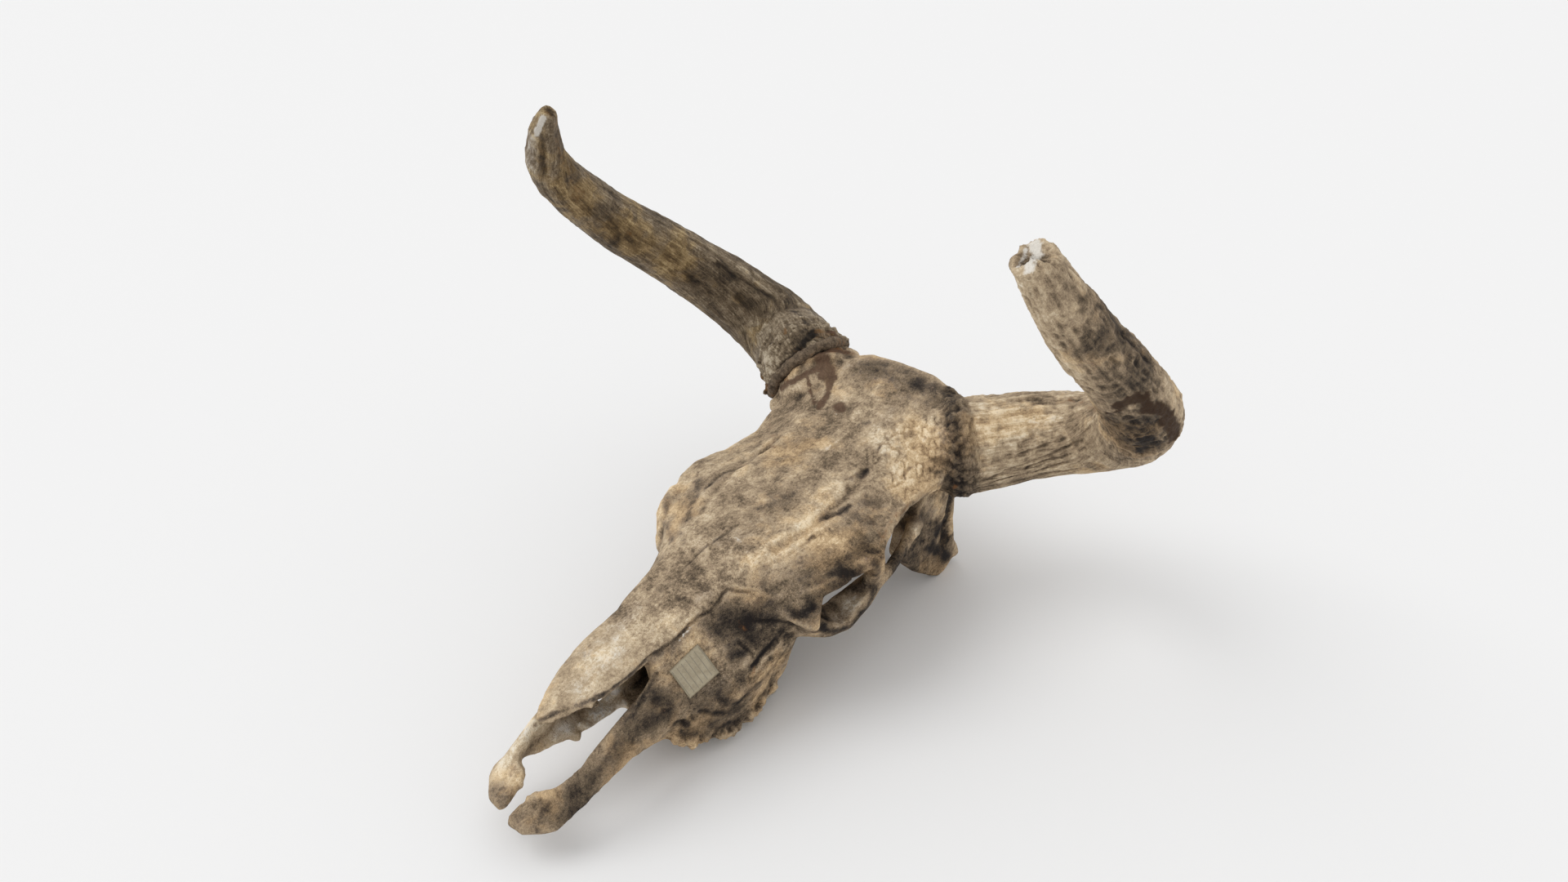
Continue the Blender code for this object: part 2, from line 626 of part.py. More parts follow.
def build_right_horn(parts, cutters):
    shells = [horn_mesh("right_horn_core", RIGHT_HORN, parts)]
    for centre, half in BURR_KNOBS:
        shells.append(ball_mesh("knob", centre, half))
    horn = add_object("right_horn_core", joined("right_horn_core", shells), parts)
    remesh(horn, VOXEL, 2)
    line = smooth_line(RIGHT_HORN, HORN_STEP)
    root_at = sum((b.xyz - a.xyz).length for a, b in zip(line, line[1:]) if a[0] > ROOT_POINT[0])
    tip = Vector(RIGHT_HORN[-1][:3])
    way = (tip - Vector(RIGHT_HORN[-2][:3])).normalized()
    cut(horn, [ball_mesh("tip_hollow", tuple(tip + way * 3), (4, 4, 9), 2)], cutters)
    sculpt(horn, lambda p: horn_relief(p, RIGHT_HORN, root_at, 190))
    reduce_to(horn, HORN_TARGET)
    cut(horn, [beyond_root("root_cut", FILLER_THICKNESS + FIT_GAP * 2, -1)], cutters)
    largest_body(horn)
    return horn


def build_filler(parts):
    # A bed of filler between the two broken faces. It follows the horn's outline and stands proud.
    root, out, across, up = root_frame()
    line = smooth_line(RIGHT_HORN, HORN_STEP)
    rings = []
    for share in (0.0, 0.5, 1.0):
        ring = []
        for k in range(FILLER_SIDES):
            turn = 2 * math.pi * k / FILLER_SIDES
            ray = across * math.cos(turn) + up * math.sin(turn)
            start = root + out * (FIT_GAP + FILLER_THICKNESS * share)
            far = np.arange(30.0, 110.0, 0.5)
            tries = np.array([start + ray * reach for reach in far])
            off, radius = along_line(tries, line)[1::2]
            wave = noise.noise(Vector((math.cos(turn) * 2, math.sin(turn) * 2, 4.0)))
            edge = far[np.argmax(off > radius)] + FILLER_PROUD * (1 if share == 0.5 else 0) + 2 * wave
            ring.append(tuple(start + ray * float(edge)))
        rings.append(ring)
    return add_object("root_filler", loft("root_filler", rings), parts)


def build_label(parts, cranium):
    # A sheet laid on the bone from outside and given its thickness away from it.
    middle = Vector(LABEL_MIDDLE)
    across = Vector(LABEL_ACROSS).normalized()
    down = Vector(LABEL_DOWN)
    down = (down - across * down.dot(across)).normalized()
    facing = across.cross(down)
    if facing.x < 0:
        facing = -facing
    points, faces = [], []
    for row in range(LABEL_CELLS + 1):
        for column in range(LABEL_CELLS + 1):
            a = (column / LABEL_CELLS - 0.5) * LABEL_SIZE[0]
            b = (row / LABEL_CELLS - 0.5) * LABEL_SIZE[1]
            points.append(tuple(middle + facing * 30 + across * a + down * b))
    wide = LABEL_CELLS + 1
    for row in range(LABEL_CELLS):
        for column in range(LABEL_CELLS):
            corner = row * wide + column
            faces.append((corner, corner + 1, corner + wide + 1, corner + wide))
    mesh = bpy.data.meshes.new("paper_label")
    mesh.from_pydata([tuple(c * MM for c in point) for point in points], [], faces)
    if mesh.polygons[0].normal.dot(facing) < 0:
        mesh.flip_normals()
    label = add_object("paper_label", mesh, parts)
    lay = label.modifiers.new("lay", "SHRINKWRAP")
    lay.target = cranium
    lay.wrap_method = "PROJECT"
    lay.use_negative_direction = True
    lay.use_positive_direction = False
    lay.wrap_mode = "ABOVE_SURFACE"
    lay.offset = LABEL_LIFT * MM
    even = label.modifiers.new("even", "SMOOTH")
    even.factor = 0.4
    even.iterations = 2
    wall = label.modifiers.new("wall", "SOLIDIFY")
    wall.thickness = LABEL_THICKNESS * MM
    wall.offset = 1.0
    return applied(label)


def stand_on_origin(parts):
    # The origin goes on the floor, under the middle of the whole skull's box.
    corners = []
    for piece in parts.objects:
        corners += [vert.co.copy() for vert in piece.data.vertices]
    low = Vector([min(corner[k] for corner in corners) for k in range(3)])
    high = Vector([max(corner[k] for corner in corners) for k in range(3)])
    middle = (low + high) / 2
    for piece in parts.objects:
        piece.data.transform(Matrix.Translation((-middle.x, -middle.y, -low.z)))


def main():
    clear_scene()
    parts = make_collection(OBJECT_NAME)
    cutters = make_collection("cutters")
    bone = make_material("bone", BONE_COLOUR, 0.75)
    horn_core = make_material("horn_core", HORN_COLOUR, 0.7)
    filler = make_material("filler", FILLER_COLOUR, 0.8)
    tooth = make_material("tooth", TOOTH_COLOUR, 0.5)
    paper = make_material("paper", PAPER_COLOUR, 0.9)
    cranium = build_cranium(parts, cutters)
    cranium.data.materials.append(bone)
    horn = build_right_horn(parts, cutters)
    horn.data.materials.append(horn_core)
    build_filler(parts).data.materials.append(filler)
    for molar in build_molars(parts):
        molar.data.materials.append(tooth)
    build_label(parts, cranium).data.materials.append(paper)
    stand_on_origin(parts)


main()
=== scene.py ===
import math
import bmesh
import bpy
import numpy as np
from mathutils import Matrix, Vector
from mathutils.bvhtree import BVHTree


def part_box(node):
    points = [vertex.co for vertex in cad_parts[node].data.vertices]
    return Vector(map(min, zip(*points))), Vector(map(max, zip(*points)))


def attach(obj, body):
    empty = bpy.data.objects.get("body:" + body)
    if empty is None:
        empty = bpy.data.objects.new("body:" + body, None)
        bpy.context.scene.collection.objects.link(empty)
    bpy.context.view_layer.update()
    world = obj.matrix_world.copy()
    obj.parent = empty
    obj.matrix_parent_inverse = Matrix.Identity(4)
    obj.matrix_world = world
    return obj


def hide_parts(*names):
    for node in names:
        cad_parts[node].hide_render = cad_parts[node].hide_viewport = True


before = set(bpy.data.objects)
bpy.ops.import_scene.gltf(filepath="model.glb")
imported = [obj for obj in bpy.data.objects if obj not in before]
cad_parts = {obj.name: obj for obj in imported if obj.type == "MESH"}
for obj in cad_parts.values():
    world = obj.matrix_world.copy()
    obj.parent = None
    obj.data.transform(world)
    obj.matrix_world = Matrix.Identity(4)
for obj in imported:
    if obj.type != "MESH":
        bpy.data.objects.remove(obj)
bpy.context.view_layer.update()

mm = 0.001
print("frame loaded")

# Lengths in the dictionaries are millimetres from the skull's own middle, with +Z up, the muzzle
# towards -Y and the animal's left at +X. Photo places are pixels of a 1920 x 1080 frame.
viewer = {
    "fromTooth": (643.7, -654.4, 885.9),  # eye point, from the left middle molar
    "right": (0.76642, 0.64139, -0.03498),
    "up": (-0.30015, 0.40574, 0.86330),
    "lens": 24.426,
    "sensor": 36.0,
    "frame": (1920, 1080),
}
skullMiddle = {"tooth": "left_molar_2", "toothAt": (57.5, -104.0, 13.5)}

lowCorner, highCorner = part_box(skullMiddle["tooth"])
toothMiddle = np.array((lowCorner + highCorner) / 2)
skullOrigin = toothMiddle - np.array(skullMiddle["toothAt"]) * mm
eyePoint = toothMiddle + np.array(viewer["fromTooth"]) * mm
viewRight, viewUp = np.array(viewer["right"]), np.array(viewer["up"])
viewBack = np.cross(viewRight, viewUp)
focal = viewer["lens"] / viewer["sensor"] * viewer["frame"][0]


def inSkull(points):  # world metres to millimetres from the skull's middle
    return (points - skullOrigin) / mm


def inWorld(points):
    return skullOrigin + np.asarray(points, float) * mm


def pixelRay(px, py):
    across, down = px - viewer["frame"][0] / 2, py - viewer["frame"][1] / 2
    way = viewRight * across - viewUp * down - viewBack * focal
    return Vector(eyePoint), Vector(way).normalized()


# Noise on a lattice, worked out for all points at once. The big factors scatter neighbouring cells.
latticeCorners = [(i, j, k) for i in (0, 1) for j in (0, 1) for k in (0, 1)]
cellFactors = (374761393, 668265263, 1440662683)
seedFactor = 974634777
stirFactor = 1274126177


def hashed(cell, seed):
    mixed = sum(cell[:, axis] * factor for axis, factor in enumerate(cellFactors)) + seed * seedFactor
    mixed = (mixed ^ (mixed >> 13)) * stirFactor & 0x7FFFFFFF
    return ((mixed ^ (mixed >> 15)) & 0xFFFF) / 65535.0


def grain(points, size, seed):  # smooth noise from -1 to 1, with lumps about size wide
    spot = points / np.asarray(size, float)
    cell = np.floor(spot).astype(np.int64)
    part = spot - cell
    part = part * part * (3 - 2 * part)
    total = np.zeros(len(points))
    for corner in latticeCorners:
        weight = np.ones(len(points))
        for axis in range(3):
            weight = weight * (part[:, axis] if corner[axis] else 1 - part[:, axis])
        total += weight * hashed(cell + np.array(corner), seed)
    return total * 2 - 1


def cells(points, size, seed):  # distance to the nearest of scattered seeds, 0 to about 1
    spot = points / np.asarray(size, float)
    cell = np.floor(spot).astype(np.int64)
    best = np.full(len(points), 9.0)
    for i in (-1, 0, 1):
        for j in (-1, 0, 1):
            for k in (-1, 0, 1):
                near = cell + np.array((i, j, k))
                centre = near + np.stack([hashed(near, seed + n) for n in range(3)], axis=1)
                best = np.minimum(best, ((spot - centre) ** 2).sum(axis=1))
    return np.sqrt(best)


def lumps(points, rows):  # noise of several sizes: size, depth and seed of each
    return sum(depth * grain(points, size, seed) for size, depth, seed in rows)


def stepUp(value, low, high):  # 0 below low, 1 above high, smooth between
    share = np.clip((value - low) / (high - low), 0, 1)
    return share * share * (3 - 2 * share)


def lineShare(points, path, half):  # 1 on the path, falling away past half its width
    path = np.asarray(path, float)
    share = np.zeros(len(points))
    low, high = path.min(axis=0) - half * 3, path.max(axis=0) + half * 3
    near = np.nonzero(((points > low) & (points < high)).all(axis=1))[0]
    some = points[near]
    if len(path) == 1:
        path = np.vstack([path, path + 0.01])
    gap = np.full(len(some), 1e9)
    for a, b in zip(path, path[1:]):
        run = b - a
        t = np.clip(((some - a) @ run) / max(run @ run, 1e-9), 0, 1)
        gap = np.minimum(gap, np.linalg.norm(some - a - t[:, None] * run, axis=1))
    share[near] = np.exp(-(gap / half) ** 2.0)
    return share


def wobbled(points, seed=90):  # a wandering offset of about 1 for each point
    offsets = [grain(points, 15, seed + n) + 0.6 * grain(points, 6, seed + 3 + n) for n in range(3)]
    return np.stack(offsets, axis=1)


def smoothRoute(stations, step=3.0):  # Catmull-Rom through the stations, read every step
    rows = [np.array(row, float) for row in stations]
    rows = [rows[0] * 2 - rows[1]] + rows + [rows[-1] * 2 - rows[-2]]
    route = []
    for a, b, c, d in zip(rows, rows[1:], rows[2:], rows[3:]):
        parts = max(2, int(np.linalg.norm((c - b)[:3]) / step))
        for k in range(parts):
            t = k / parts
            route.append(0.5 * (2 * b + (c - a) * t + (2 * a - 5 * b + 4 * c - d) * t ** 2
                                + (3 * b - a - 3 * c + d) * t ** 3))
    route.append(rows[-2])
    return np.array(route)


def runAlong(middles):  # distance of each middle from the first
    return np.concatenate([[0.0], np.cumsum(np.linalg.norm(np.diff(middles, axis=0), axis=1))])


# Meshes as arrays
def meshPoints(mesh):
    points = np.empty(len(mesh.vertices) * 3)
    mesh.vertices.foreach_get("co", points)
    return points.reshape(-1, 3)


def meshNormals(mesh):
    normals = np.empty(len(mesh.vertices) * 3)
    mesh.vertices.foreach_get("normal", normals)
    return normals.reshape(-1, 3)


def setPoints(mesh, points):
    mesh.vertices.foreach_set("co", points.ravel())
    mesh.update()


def meshLinks(mesh):
    links = np.empty(len(mesh.edges) * 2, np.int64)
    mesh.edges.foreach_get("vertices", links)
    return links.reshape(-1, 2)


def neighbourMean(values, links):
    count = np.bincount(links.ravel(), minlength=len(values))
    count = np.maximum(count, 1)
    columns = values.reshape(len(values), -1)
    made = np.empty_like(columns)
    for axis in range(columns.shape[1]):
        one = np.bincount(links[:, 0], columns[links[:, 1], axis], len(values))
        two = np.bincount(links[:, 1], columns[links[:, 0], axis], len(values))
        made[:, axis] = (one + two) / count
    return made.reshape(values.shape)


pull, push = 0.6, -0.62  # shares of the way to the neighbours' mean


def smoothed(mesh, rounds):
    # Facets melt away and the volume stays: each pull in is followed by a push out.
    links, points = meshLinks(mesh), meshPoints(mesh)
    for _ in range(rounds):
        for share in (pull, push):
            points = points + share * (neighbourMean(points, links) - points)
    setPoints(mesh, points)
    return points, links


def raised(mesh, world, relief):  # points moved out by the relief in mm, none below the floor
    world = world + meshNormals(mesh) * relief[:, None] * mm
    world[:, 2] = np.maximum(world[:, 2], 0.0)
    setPoints(mesh, world)
    return world


def hollowness(points, normals, links, rounds):  # above 0 in hollows, below 0 on ridges, in millimetres
    spread = points
    for _ in range(rounds):
        spread = spread + pull * (neighbourMean(spread, links) - spread)
    return ((spread - points) * normals).sum(axis=1) / mm


def addPiece(name, mesh):
    piece = bpy.data.objects.new(name, mesh)
    bpy.context.scene.collection.objects.link(piece)
    return piece


def coat(mesh, finish):
    mesh.materials.clear()
    mesh.materials.append(finish)


def plainMesh(piece):  # what the modifiers make of the piece, as its own mesh
    bpy.context.view_layer.update()
    made = bpy.data.meshes.new_from_object(piece.evaluated_get(bpy.context.evaluated_depsgraph_get()))
    piece.modifiers.clear()
    old, piece.data = piece.data, made
    bpy.data.meshes.remove(old)
    return piece


weldGap = 0.00001  # metres


def skinOf(node, name, voxel, extras=()):
    # A welded copy of the solid and its extra lumps, all fused in one fine even skin.
    solid = bmesh.new()
    solid.from_mesh(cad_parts[node].data)
    bmesh.ops.remove_doubles(solid, verts=solid.verts, dist=weldGap)
    for extra in extras:
        solid.from_mesh(extra)
    mesh = bpy.data.meshes.new(name)
    solid.to_mesh(mesh)
    solid.free()
    piece = addPiece(name, mesh)
    fuse = piece.modifiers.new("fuse", "REMESH")
    fuse.mode = "VOXEL"
    fuse.voxel_size = voxel * mm
    fuse.use_smooth_shade = True
    return plainMesh(piece)


def surfaceOf(mesh):
    return BVHTree.FromPolygons([tuple(v) for v in meshPoints(mesh)], [p.vertices[:] for p in mesh.polygons])


def onSurface(surface, pixels):  # where the pixels' rays meet the bone, in skull millimetres
    found = []
    for px, py in pixels:
        spot = surface.ray_cast(*pixelRay(px, py))[0]
        if spot is not None:
            found.append(inSkull(np.array(spot)))
    return np.array(found)


probe = {"from": 0.9, "step": 0.006, "count": 140}  # metres from the eye, along a ray that passes by


def onEdge(surface, pixels):  # the same, but rays that pass by take the nearest bone
    found = []
    for px, py in pixels:
        start, way = pixelRay(px, py)
        spot = surface.ray_cast(start, way)[0]
        if spot is None:
            passing = [surface.find_nearest(start + way * (probe["from"] + probe["step"] * n))
                       for n in range(probe["count"])]
            spot = min(passing, key=lambda near: near[3])[0]
        found.append(inSkull(np.array(spot)))
    return np.array(found)


def beside(points, node, reach):  # 1 on a solid, falling away over the reach in millimetres
    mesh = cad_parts[node].data
    solid, corners = surfaceOf(mesh), inSkull(meshPoints(mesh))
    share = np.zeros(len(points))
    low, high = corners.min(axis=0) - reach * 2, corners.max(axis=0) + reach * 2
    for k in np.nonzero(((points > low) & (points < high)).all(axis=1))[0]:
        gap = solid.find_nearest(Vector(inWorld(points[k])))[3] / mm
        share[k] = math.exp(-(gap / reach) ** 2)
    return share


def thinned(piece, most):  # fewer faces where the surface is plain
    faces = sum(len(face.vertices) - 2 for face in piece.data.polygons)
    if faces > most:
        thin = piece.modifiers.new("thin", "DECIMATE")
        thin.ratio = most / faces
        plainMesh(piece)
        piece.data.shade_smooth()
    return piece.data


def setNumbers(mesh, shares):
    for name, values in shares.items():
        mesh.attributes.new(name, "FLOAT", "POINT").data.foreach_set("value", values.astype(np.float32))


def setVector(mesh, name, values):
    made = mesh.attributes.new(name, "FLOAT_VECTOR", "POINT")
    made.data.foreach_set("vector", values.astype(np.float32).ravel())


# Horn cores: middle and radius of each station, from the root out, then depths and runs along the horn
leftHorn = {
    "stations": [(62, 222, 208, 40), (113, 247, 214, 60), (184, 315, 224, 56), (255, 330, 245, 50),
                 (310, 298, 287, 47), (340, 233, 347, 43), (342, 158, 417, 36), (324, 86, 492, 31),
                 (301, 30, 572, 21)],
    "burrRun": 53.0,
    "burrWidth": 18.0,
    "fluteDepth": 2.6,
    "fibreDepth": 0.55,
    "wrinkled": 1.0,  # share of the knobs and worm-like wrinkles
}
rightHorn = {
    "stations": [(-100, 240, 240, 48), (-150, 268, 247, 60), (-221, 322, 237, 60), (-272, 326, 263, 56),
                 (-313, 288, 313, 49), (-345, 218, 380, 42), (-358, 124, 457, 36), (-348, 38, 540, 28),
                 (-325, 14, 592, 19), (-294, 3, 626, 10)],
    "burrRun": 50.0,
    "burrWidth": 18.0,
    "fluteDepth": 1.2,
    "fibreDepth": 0.55,
    "wrinkled": 0.25,
    "voxel": 1.75,
    "easing": 18,
    "knobRun": 22,  # from the burr to its ring of knobs
    "baseReach": 16,  # how far the fissured base reaches from the filler
    "fissureDepth": 2.2,
    "fissureSunk": 1.0,
    "hollowRounds": 12,
}


def hornPlaces(points, horn):
    # Run along the horn, distance from its middle line, turn round it, radius there.
    route = smoothRoute(horn["stations"])
    middles = route[:, :3]
    run = runAlong(middles)
    nearest = np.empty(len(points), np.int64)
    chunk = 20000  # points at a time, to spare memory
    for start in range(0, len(points), chunk):
        some = points[start:start + chunk]
        nearest[start:start + chunk] = ((some[:, None, :] - middles[None]) ** 2).sum(axis=2).argmin(axis=1)
    way = np.gradient(middles, axis=0)
    way /= np.linalg.norm(way, axis=1)[:, None]
    side = np.cross(way, np.array([0.0, 0.0, 1.0]))
    side /= np.linalg.norm(side, axis=1)[:, None]
    top = np.cross(side, way)
    out = points - middles[nearest]
    forward = (out * way[nearest]).sum(axis=1)
    out = out - forward[:, None] * way[nearest]
    turn = np.arctan2((out * side[nearest]).sum(axis=1), (out * top[nearest]).sum(axis=1))
    return {"run": run[nearest] + forward, "far": np.linalg.norm(out, axis=1), "turn": turn,
            "radius": route[nearest, 3], "length": run[-1]}


def hornFlow(spots, stretch=0.08):  # the horn laid out straight, short along its fibres
    ring, turn = spots["radius"], spots["turn"]
    return np.stack([ring * np.sin(turn), spots["run"] * stretch, ring * np.cos(turn)], axis=1)


class Wire:  # a socket that takes part in sums
    def __init__(self, tree, socket):
        self.tree, self.socket = tree, socket

    def math(self, operation, one, two=0.0, clamp=False):
        node = self.tree.nodes.new("ShaderNodeMath")
        node.operation = operation
        node.use_clamp = clamp
        for place, value in enumerate((one, two)):
            if isinstance(value, Wire):
                self.tree.links.new(value.socket, node.inputs[place])
            else:
                node.inputs[place].default_value = value
        return Wire(self.tree, node.outputs[0])

    def __add__(self, other):
        return self.math("ADD", self, other)

    def __sub__(self, other):
        return self.math("SUBTRACT", self, other)

    def __rsub__(self, other):
        return self.math("SUBTRACT", other, self)

    def __mul__(self, other):
        return self.math("MULTIPLY", self, other)

    __radd__, __rmul__ = __add__, __mul__

    def clipped(self):
        return self.math("ADD", self, 0.0, clamp=True)


dullShine = 0.14  # dry bone, filler and paper shine weakly


class Finish:  # one material and its nodes
    def __init__(self, name, roughness):
        self.material = bpy.data.materials.new(name)
        self.material.use_nodes = True
        self.tree = self.material.node_tree
        self.shader = self.tree.nodes["Principled BSDF"]
        self.shader.inputs["Roughness"].default_value = roughness
        self.shader.inputs["Specular IOR Level"].default_value = dullShine
        self.place = self.node("ShaderNodeTexCoord", {}, {}).outputs["Object"]

    def node(self, kind, settings, inputs):
        made = self.tree.nodes.new(kind)
        for name, value in settings.items():
            if name == "stops":
                ramp = made.color_ramp
                while len(ramp.elements) < len(value):
                    ramp.elements.new(0.5)
                for element, (spot, colour) in zip(ramp.elements, value):
                    element.position = spot
                    element.color = (*colour, 1)
            else:
                setattr(made, name, value)
        for name, value in inputs.items():
            self.feed(made.inputs[name], value)
        return made

    def feed(self, socket, value):
        if isinstance(value, Wire):
            value = value.socket
        if isinstance(value, bpy.types.NodeSocket):
            self.tree.links.new(value, socket)
        elif isinstance(value, tuple) and socket.type == "RGBA":
            socket.default_value = (*value, 1)
        else:
            socket.default_value = value

    def wire(self, node, output=0):
        return Wire(self.tree, node.outputs[output])

    def number(self, name):  # one of the piece's own numbers
        return self.wire(self.node("ShaderNodeAttribute", {"attribute_name": name}, {}), "Fac")

    def vector(self, name):
        return self.node("ShaderNodeAttribute", {"attribute_name": name}, {}).outputs["Vector"]

    def noise(self, size, detail, rough, twist=0.0, vector=None):  # lumps about size mm wide
        made = self.node("ShaderNodeTexNoise", {}, {
            "Vector": vector or self.place, "Scale": 1 / (size * mm), "Detail": detail,
            "Roughness": rough, "Distortion": twist})
        return self.wire(made, "Fac")

    def pits(self, size):  # distance to scattered pores about size mm apart
        made = self.node("ShaderNodeTexVoronoi", {}, {"Vector": self.place, "Scale": 1 / (size * mm)})
        return self.wire(made, "Distance")

    def band(self, value, low, high):  # 0 below low, 1 above high, soft between
        made = self.node("ShaderNodeMapRange", {"interpolation_type": "SMOOTHSTEP"},
                         {"Value": value, "From Min": low, "From Max": high})
        return self.wire(made)

    def ramp(self, value, stops):
        return self.node("ShaderNodeValToRGB", {"stops": stops}, {"Fac": value}).outputs["Color"]

    def mix(self, share, one, two, blend="MIX"):
        made = self.node("ShaderNodeMix", {"data_type": "RGBA", "blend_type": blend},
                         {0: share, 6: one, 7: two})
        return made.outputs[2]

    def relief(self, height, depth, strength=1.0):  # depth in millimetres
        inputs = {"Height": height, "Distance": depth * mm, "Strength": strength}
        return self.node("ShaderNodeBump", {}, inputs).outputs["Normal"]


print("tools ready")

# Colours from the darkest stain and painted shade to the palest worn bone
skullBone = {
    "stops": [(0.00, (0.016, 0.012, 0.010)), (0.14, (0.040, 0.030, 0.022)), (0.28, (0.092, 0.068, 0.046)),
              (0.44, (0.190, 0.140, 0.091)), (0.60, (0.350, 0.262, 0.172)), (0.76, (0.530, 0.410, 0.272)),
              (0.90, (0.700, 0.580, 0.410)), (1.00, (0.840, 0.750, 0.600))],
    "middle": 0.63,
    "stainAndShadeTint": (0.90, 0.96, 1.12),
    "umber": (0.040, 0.020, 0.010),
    "rust": (0.200, 0.092, 0.036),
    "coolTint": (0.92, 0.99, 1.16),
    "warmTint": (1.05, 0.965, 0.84),
    "white": (0.820, 0.780, 0.710),
    "filler": (0.092, 0.053, 0.034),
    "roughness": 0.78,
    "contrast": 1.0,
    "bump": 1.3,  # relief in mm
}
hornBone = {
    "stops": [(0.00, (0.014, 0.010, 0.007)), (0.20, (0.038, 0.027, 0.017)), (0.40, (0.084, 0.060, 0.037)),
              (0.55, (0.145, 0.106, 0.066)), (0.70, (0.235, 0.180, 0.118)), (0.85, (0.360, 0.290, 0.200)),
              (1.00, (0.560, 0.480, 0.360))],
    "middle": 0.61,
    "stainAndShadeTint": (0.98, 0.98, 0.98),
    "umber": (0.034, 0.019, 0.011),
    "rust": (0.170, 0.082, 0.026),
    "coolTint": (0.92, 1.00, 1.22),
    "warmTint": (1.06, 0.95, 0.70),
    "white": (0.640, 0.600, 0.540),
    "filler": (0.105, 0.058, 0.036),
    "roughness": 0.62,
    "contrast": 0.85,
    "bump": 1.3,
}


# Patterns of the bone: lump size in mm, detail, roughness, twist
bonePatterns = {
    "broad": (75, 2, 0.50, 0.0),
    "cloud": (25, 5, 0.62, 0.7),
    "mottle": (9, 4, 0.62, 0.3),
    "speck": (3.2, 3, 0.62, 0.0),
    "dust": (1.0, 2, 0.50, 0.0),
    "blotch": (32, 6, 0.70, 0.9),
    "streak": (10, 4, 0.60, 0.0),
    "fibre": (2.4, 4, 0.62, 0.0),
    "flute": (9, 1, 0.40, 0.0),
}
darkening = {"hollow": 0.15, "stain": 0.42, "fluteGrooveShade": 0.17}  # how far down the ramp each one goes: painted shade and dirt in hollows, stains with painted shade, painted shade in the flute grooves
coverage = {"stainAndShadeTint": 0.8, "rust": 0.78, "umber": 0.93, "white": 0.92, "filler": 0.90}  # at the most


def boneFinish(name, look):
    f = Finish(name, look["roughness"])
    flow = f.vector("flow")
    fibrous = f.number("fibrous")
    broad, cloud, mottle, speck, dust = [f.noise(*bonePatterns[kind]) - 0.5
                                         for kind in ("broad", "cloud", "mottle", "speck", "dust")]
    streak, fibre = [f.noise(*bonePatterns[kind], flow) - 0.5 for kind in ("streak", "fibre")]
    blotch = f.band(f.noise(*bonePatterns["blotch"]), 0.53, 0.68)
    breakUp = cloud * 1.3 + mottle * 1.5 + speck * 1.1 + streak * 0.8  # frays the marks' edges
    # Dark stains; the same share also carries painted shade in the seam under its overhanging edge, in the
    # crack at the right horn's base and in the fold creases, and a darkening towards the bottom
    stainAndShadeShare = f.band(f.number("stain") + breakUp * 0.9, 0.22, 0.92)
    # The flute grooves are sunk in the bump and also painted darker, as painted shade
    flute = f.noise(*bonePatterns["flute"], f.vector("longFlow")) - 0.5
    line = f.band(flute.math("ABSOLUTE", flute), 0.040, 0.0) * f.number("fluted")
    uneven = (broad * 0.80 + cloud * 1.00 + mottle * 0.52 + speck * 0.66 + dust * 0.55
              + streak * (fibrous * 0.22 + 0.34) + fibre * (fibrous * 0.60 + 0.40) - blotch * 0.10)
    value = uneven * (look["contrast"] - f.number("calm") * 0.34) + f.number("tone")
    # Darker in hollows (painted shade and dirt), in stains and the shade painted with them, and in the flute
    # grooves (painted shade)
    value = (value - f.number("hollow") * darkening["hollow"] - stainAndShadeShare * darkening["stain"]
             - line * darkening["fluteGrooveShade"] + look["middle"])
    colour = f.ramp(value.clipped(), look["stops"])
    # Stains and the painted shade with them take a tint
    colour = f.mix(stainAndShadeShare * coverage["stainAndShadeTint"], colour, look["stainAndShadeTint"], "MULTIPLY")
    warmShare = f.band(broad + cloud * 0.8 + f.number("warm") * 0.5, -0.01, 0.22)
    colour = f.mix(warmShare, colour, look["warmTint"], "MULTIPLY")
    coolShare = f.band(f.number("cool") + breakUp * 0.5, 0.15, 0.95)
    colour = f.mix(coolShare, colour, look["coolTint"], "MULTIPLY")
    rustShare = f.band(f.number("rust") + breakUp * 0.8, 0.22, 0.90) * coverage["rust"]
    colour = f.mix(rustShare, colour, look["rust"])
    umberShare = f.band(f.number("umber") + mottle * 0.8 + cloud * 0.8, 0.26, 0.74)
    colour = f.mix(umberShare * coverage["umber"], colour, look["umber"])
    whiteShare = f.band(f.number("white") + breakUp * 0.6, 0.30, 0.80) * coverage["white"]
    colour = f.mix(whiteShare, colour, look["white"])
    fillerShare = f.band(f.number("filler") + speck * 0.6 + mottle * 0.8, 0.26, 0.66)
    fillerColour = f.mix(f.band(mottle + speck * 0.6, -0.12, 0.14), look["filler"],
                         tuple(c * 1.35 for c in look["filler"]))
    colour = f.mix(fillerShare * coverage["filler"], colour, fillerColour)
    f.feed(f.shader.inputs["Base Color"], colour)
    f.feed(f.shader.inputs["Roughness"], (speck * 0.35 - whiteShare * 0.25 + look["roughness"]).clipped())
    pores = f.band(f.pits(2.6), 0.05, 0.38)
    height = (cloud * 0.9 + mottle * 1.3 + speck * 1.1 + dust * 0.35
              + (fibre * 1.3 + streak) * (fibrous + 0.25)
              + pores * 0.35 * (1 - fibrous) + fillerShare * 0.5 - line * 1.6)
    f.feed(f.shader.inputs["Normal"], f.relief(height, look["bump"]))
    return f.material


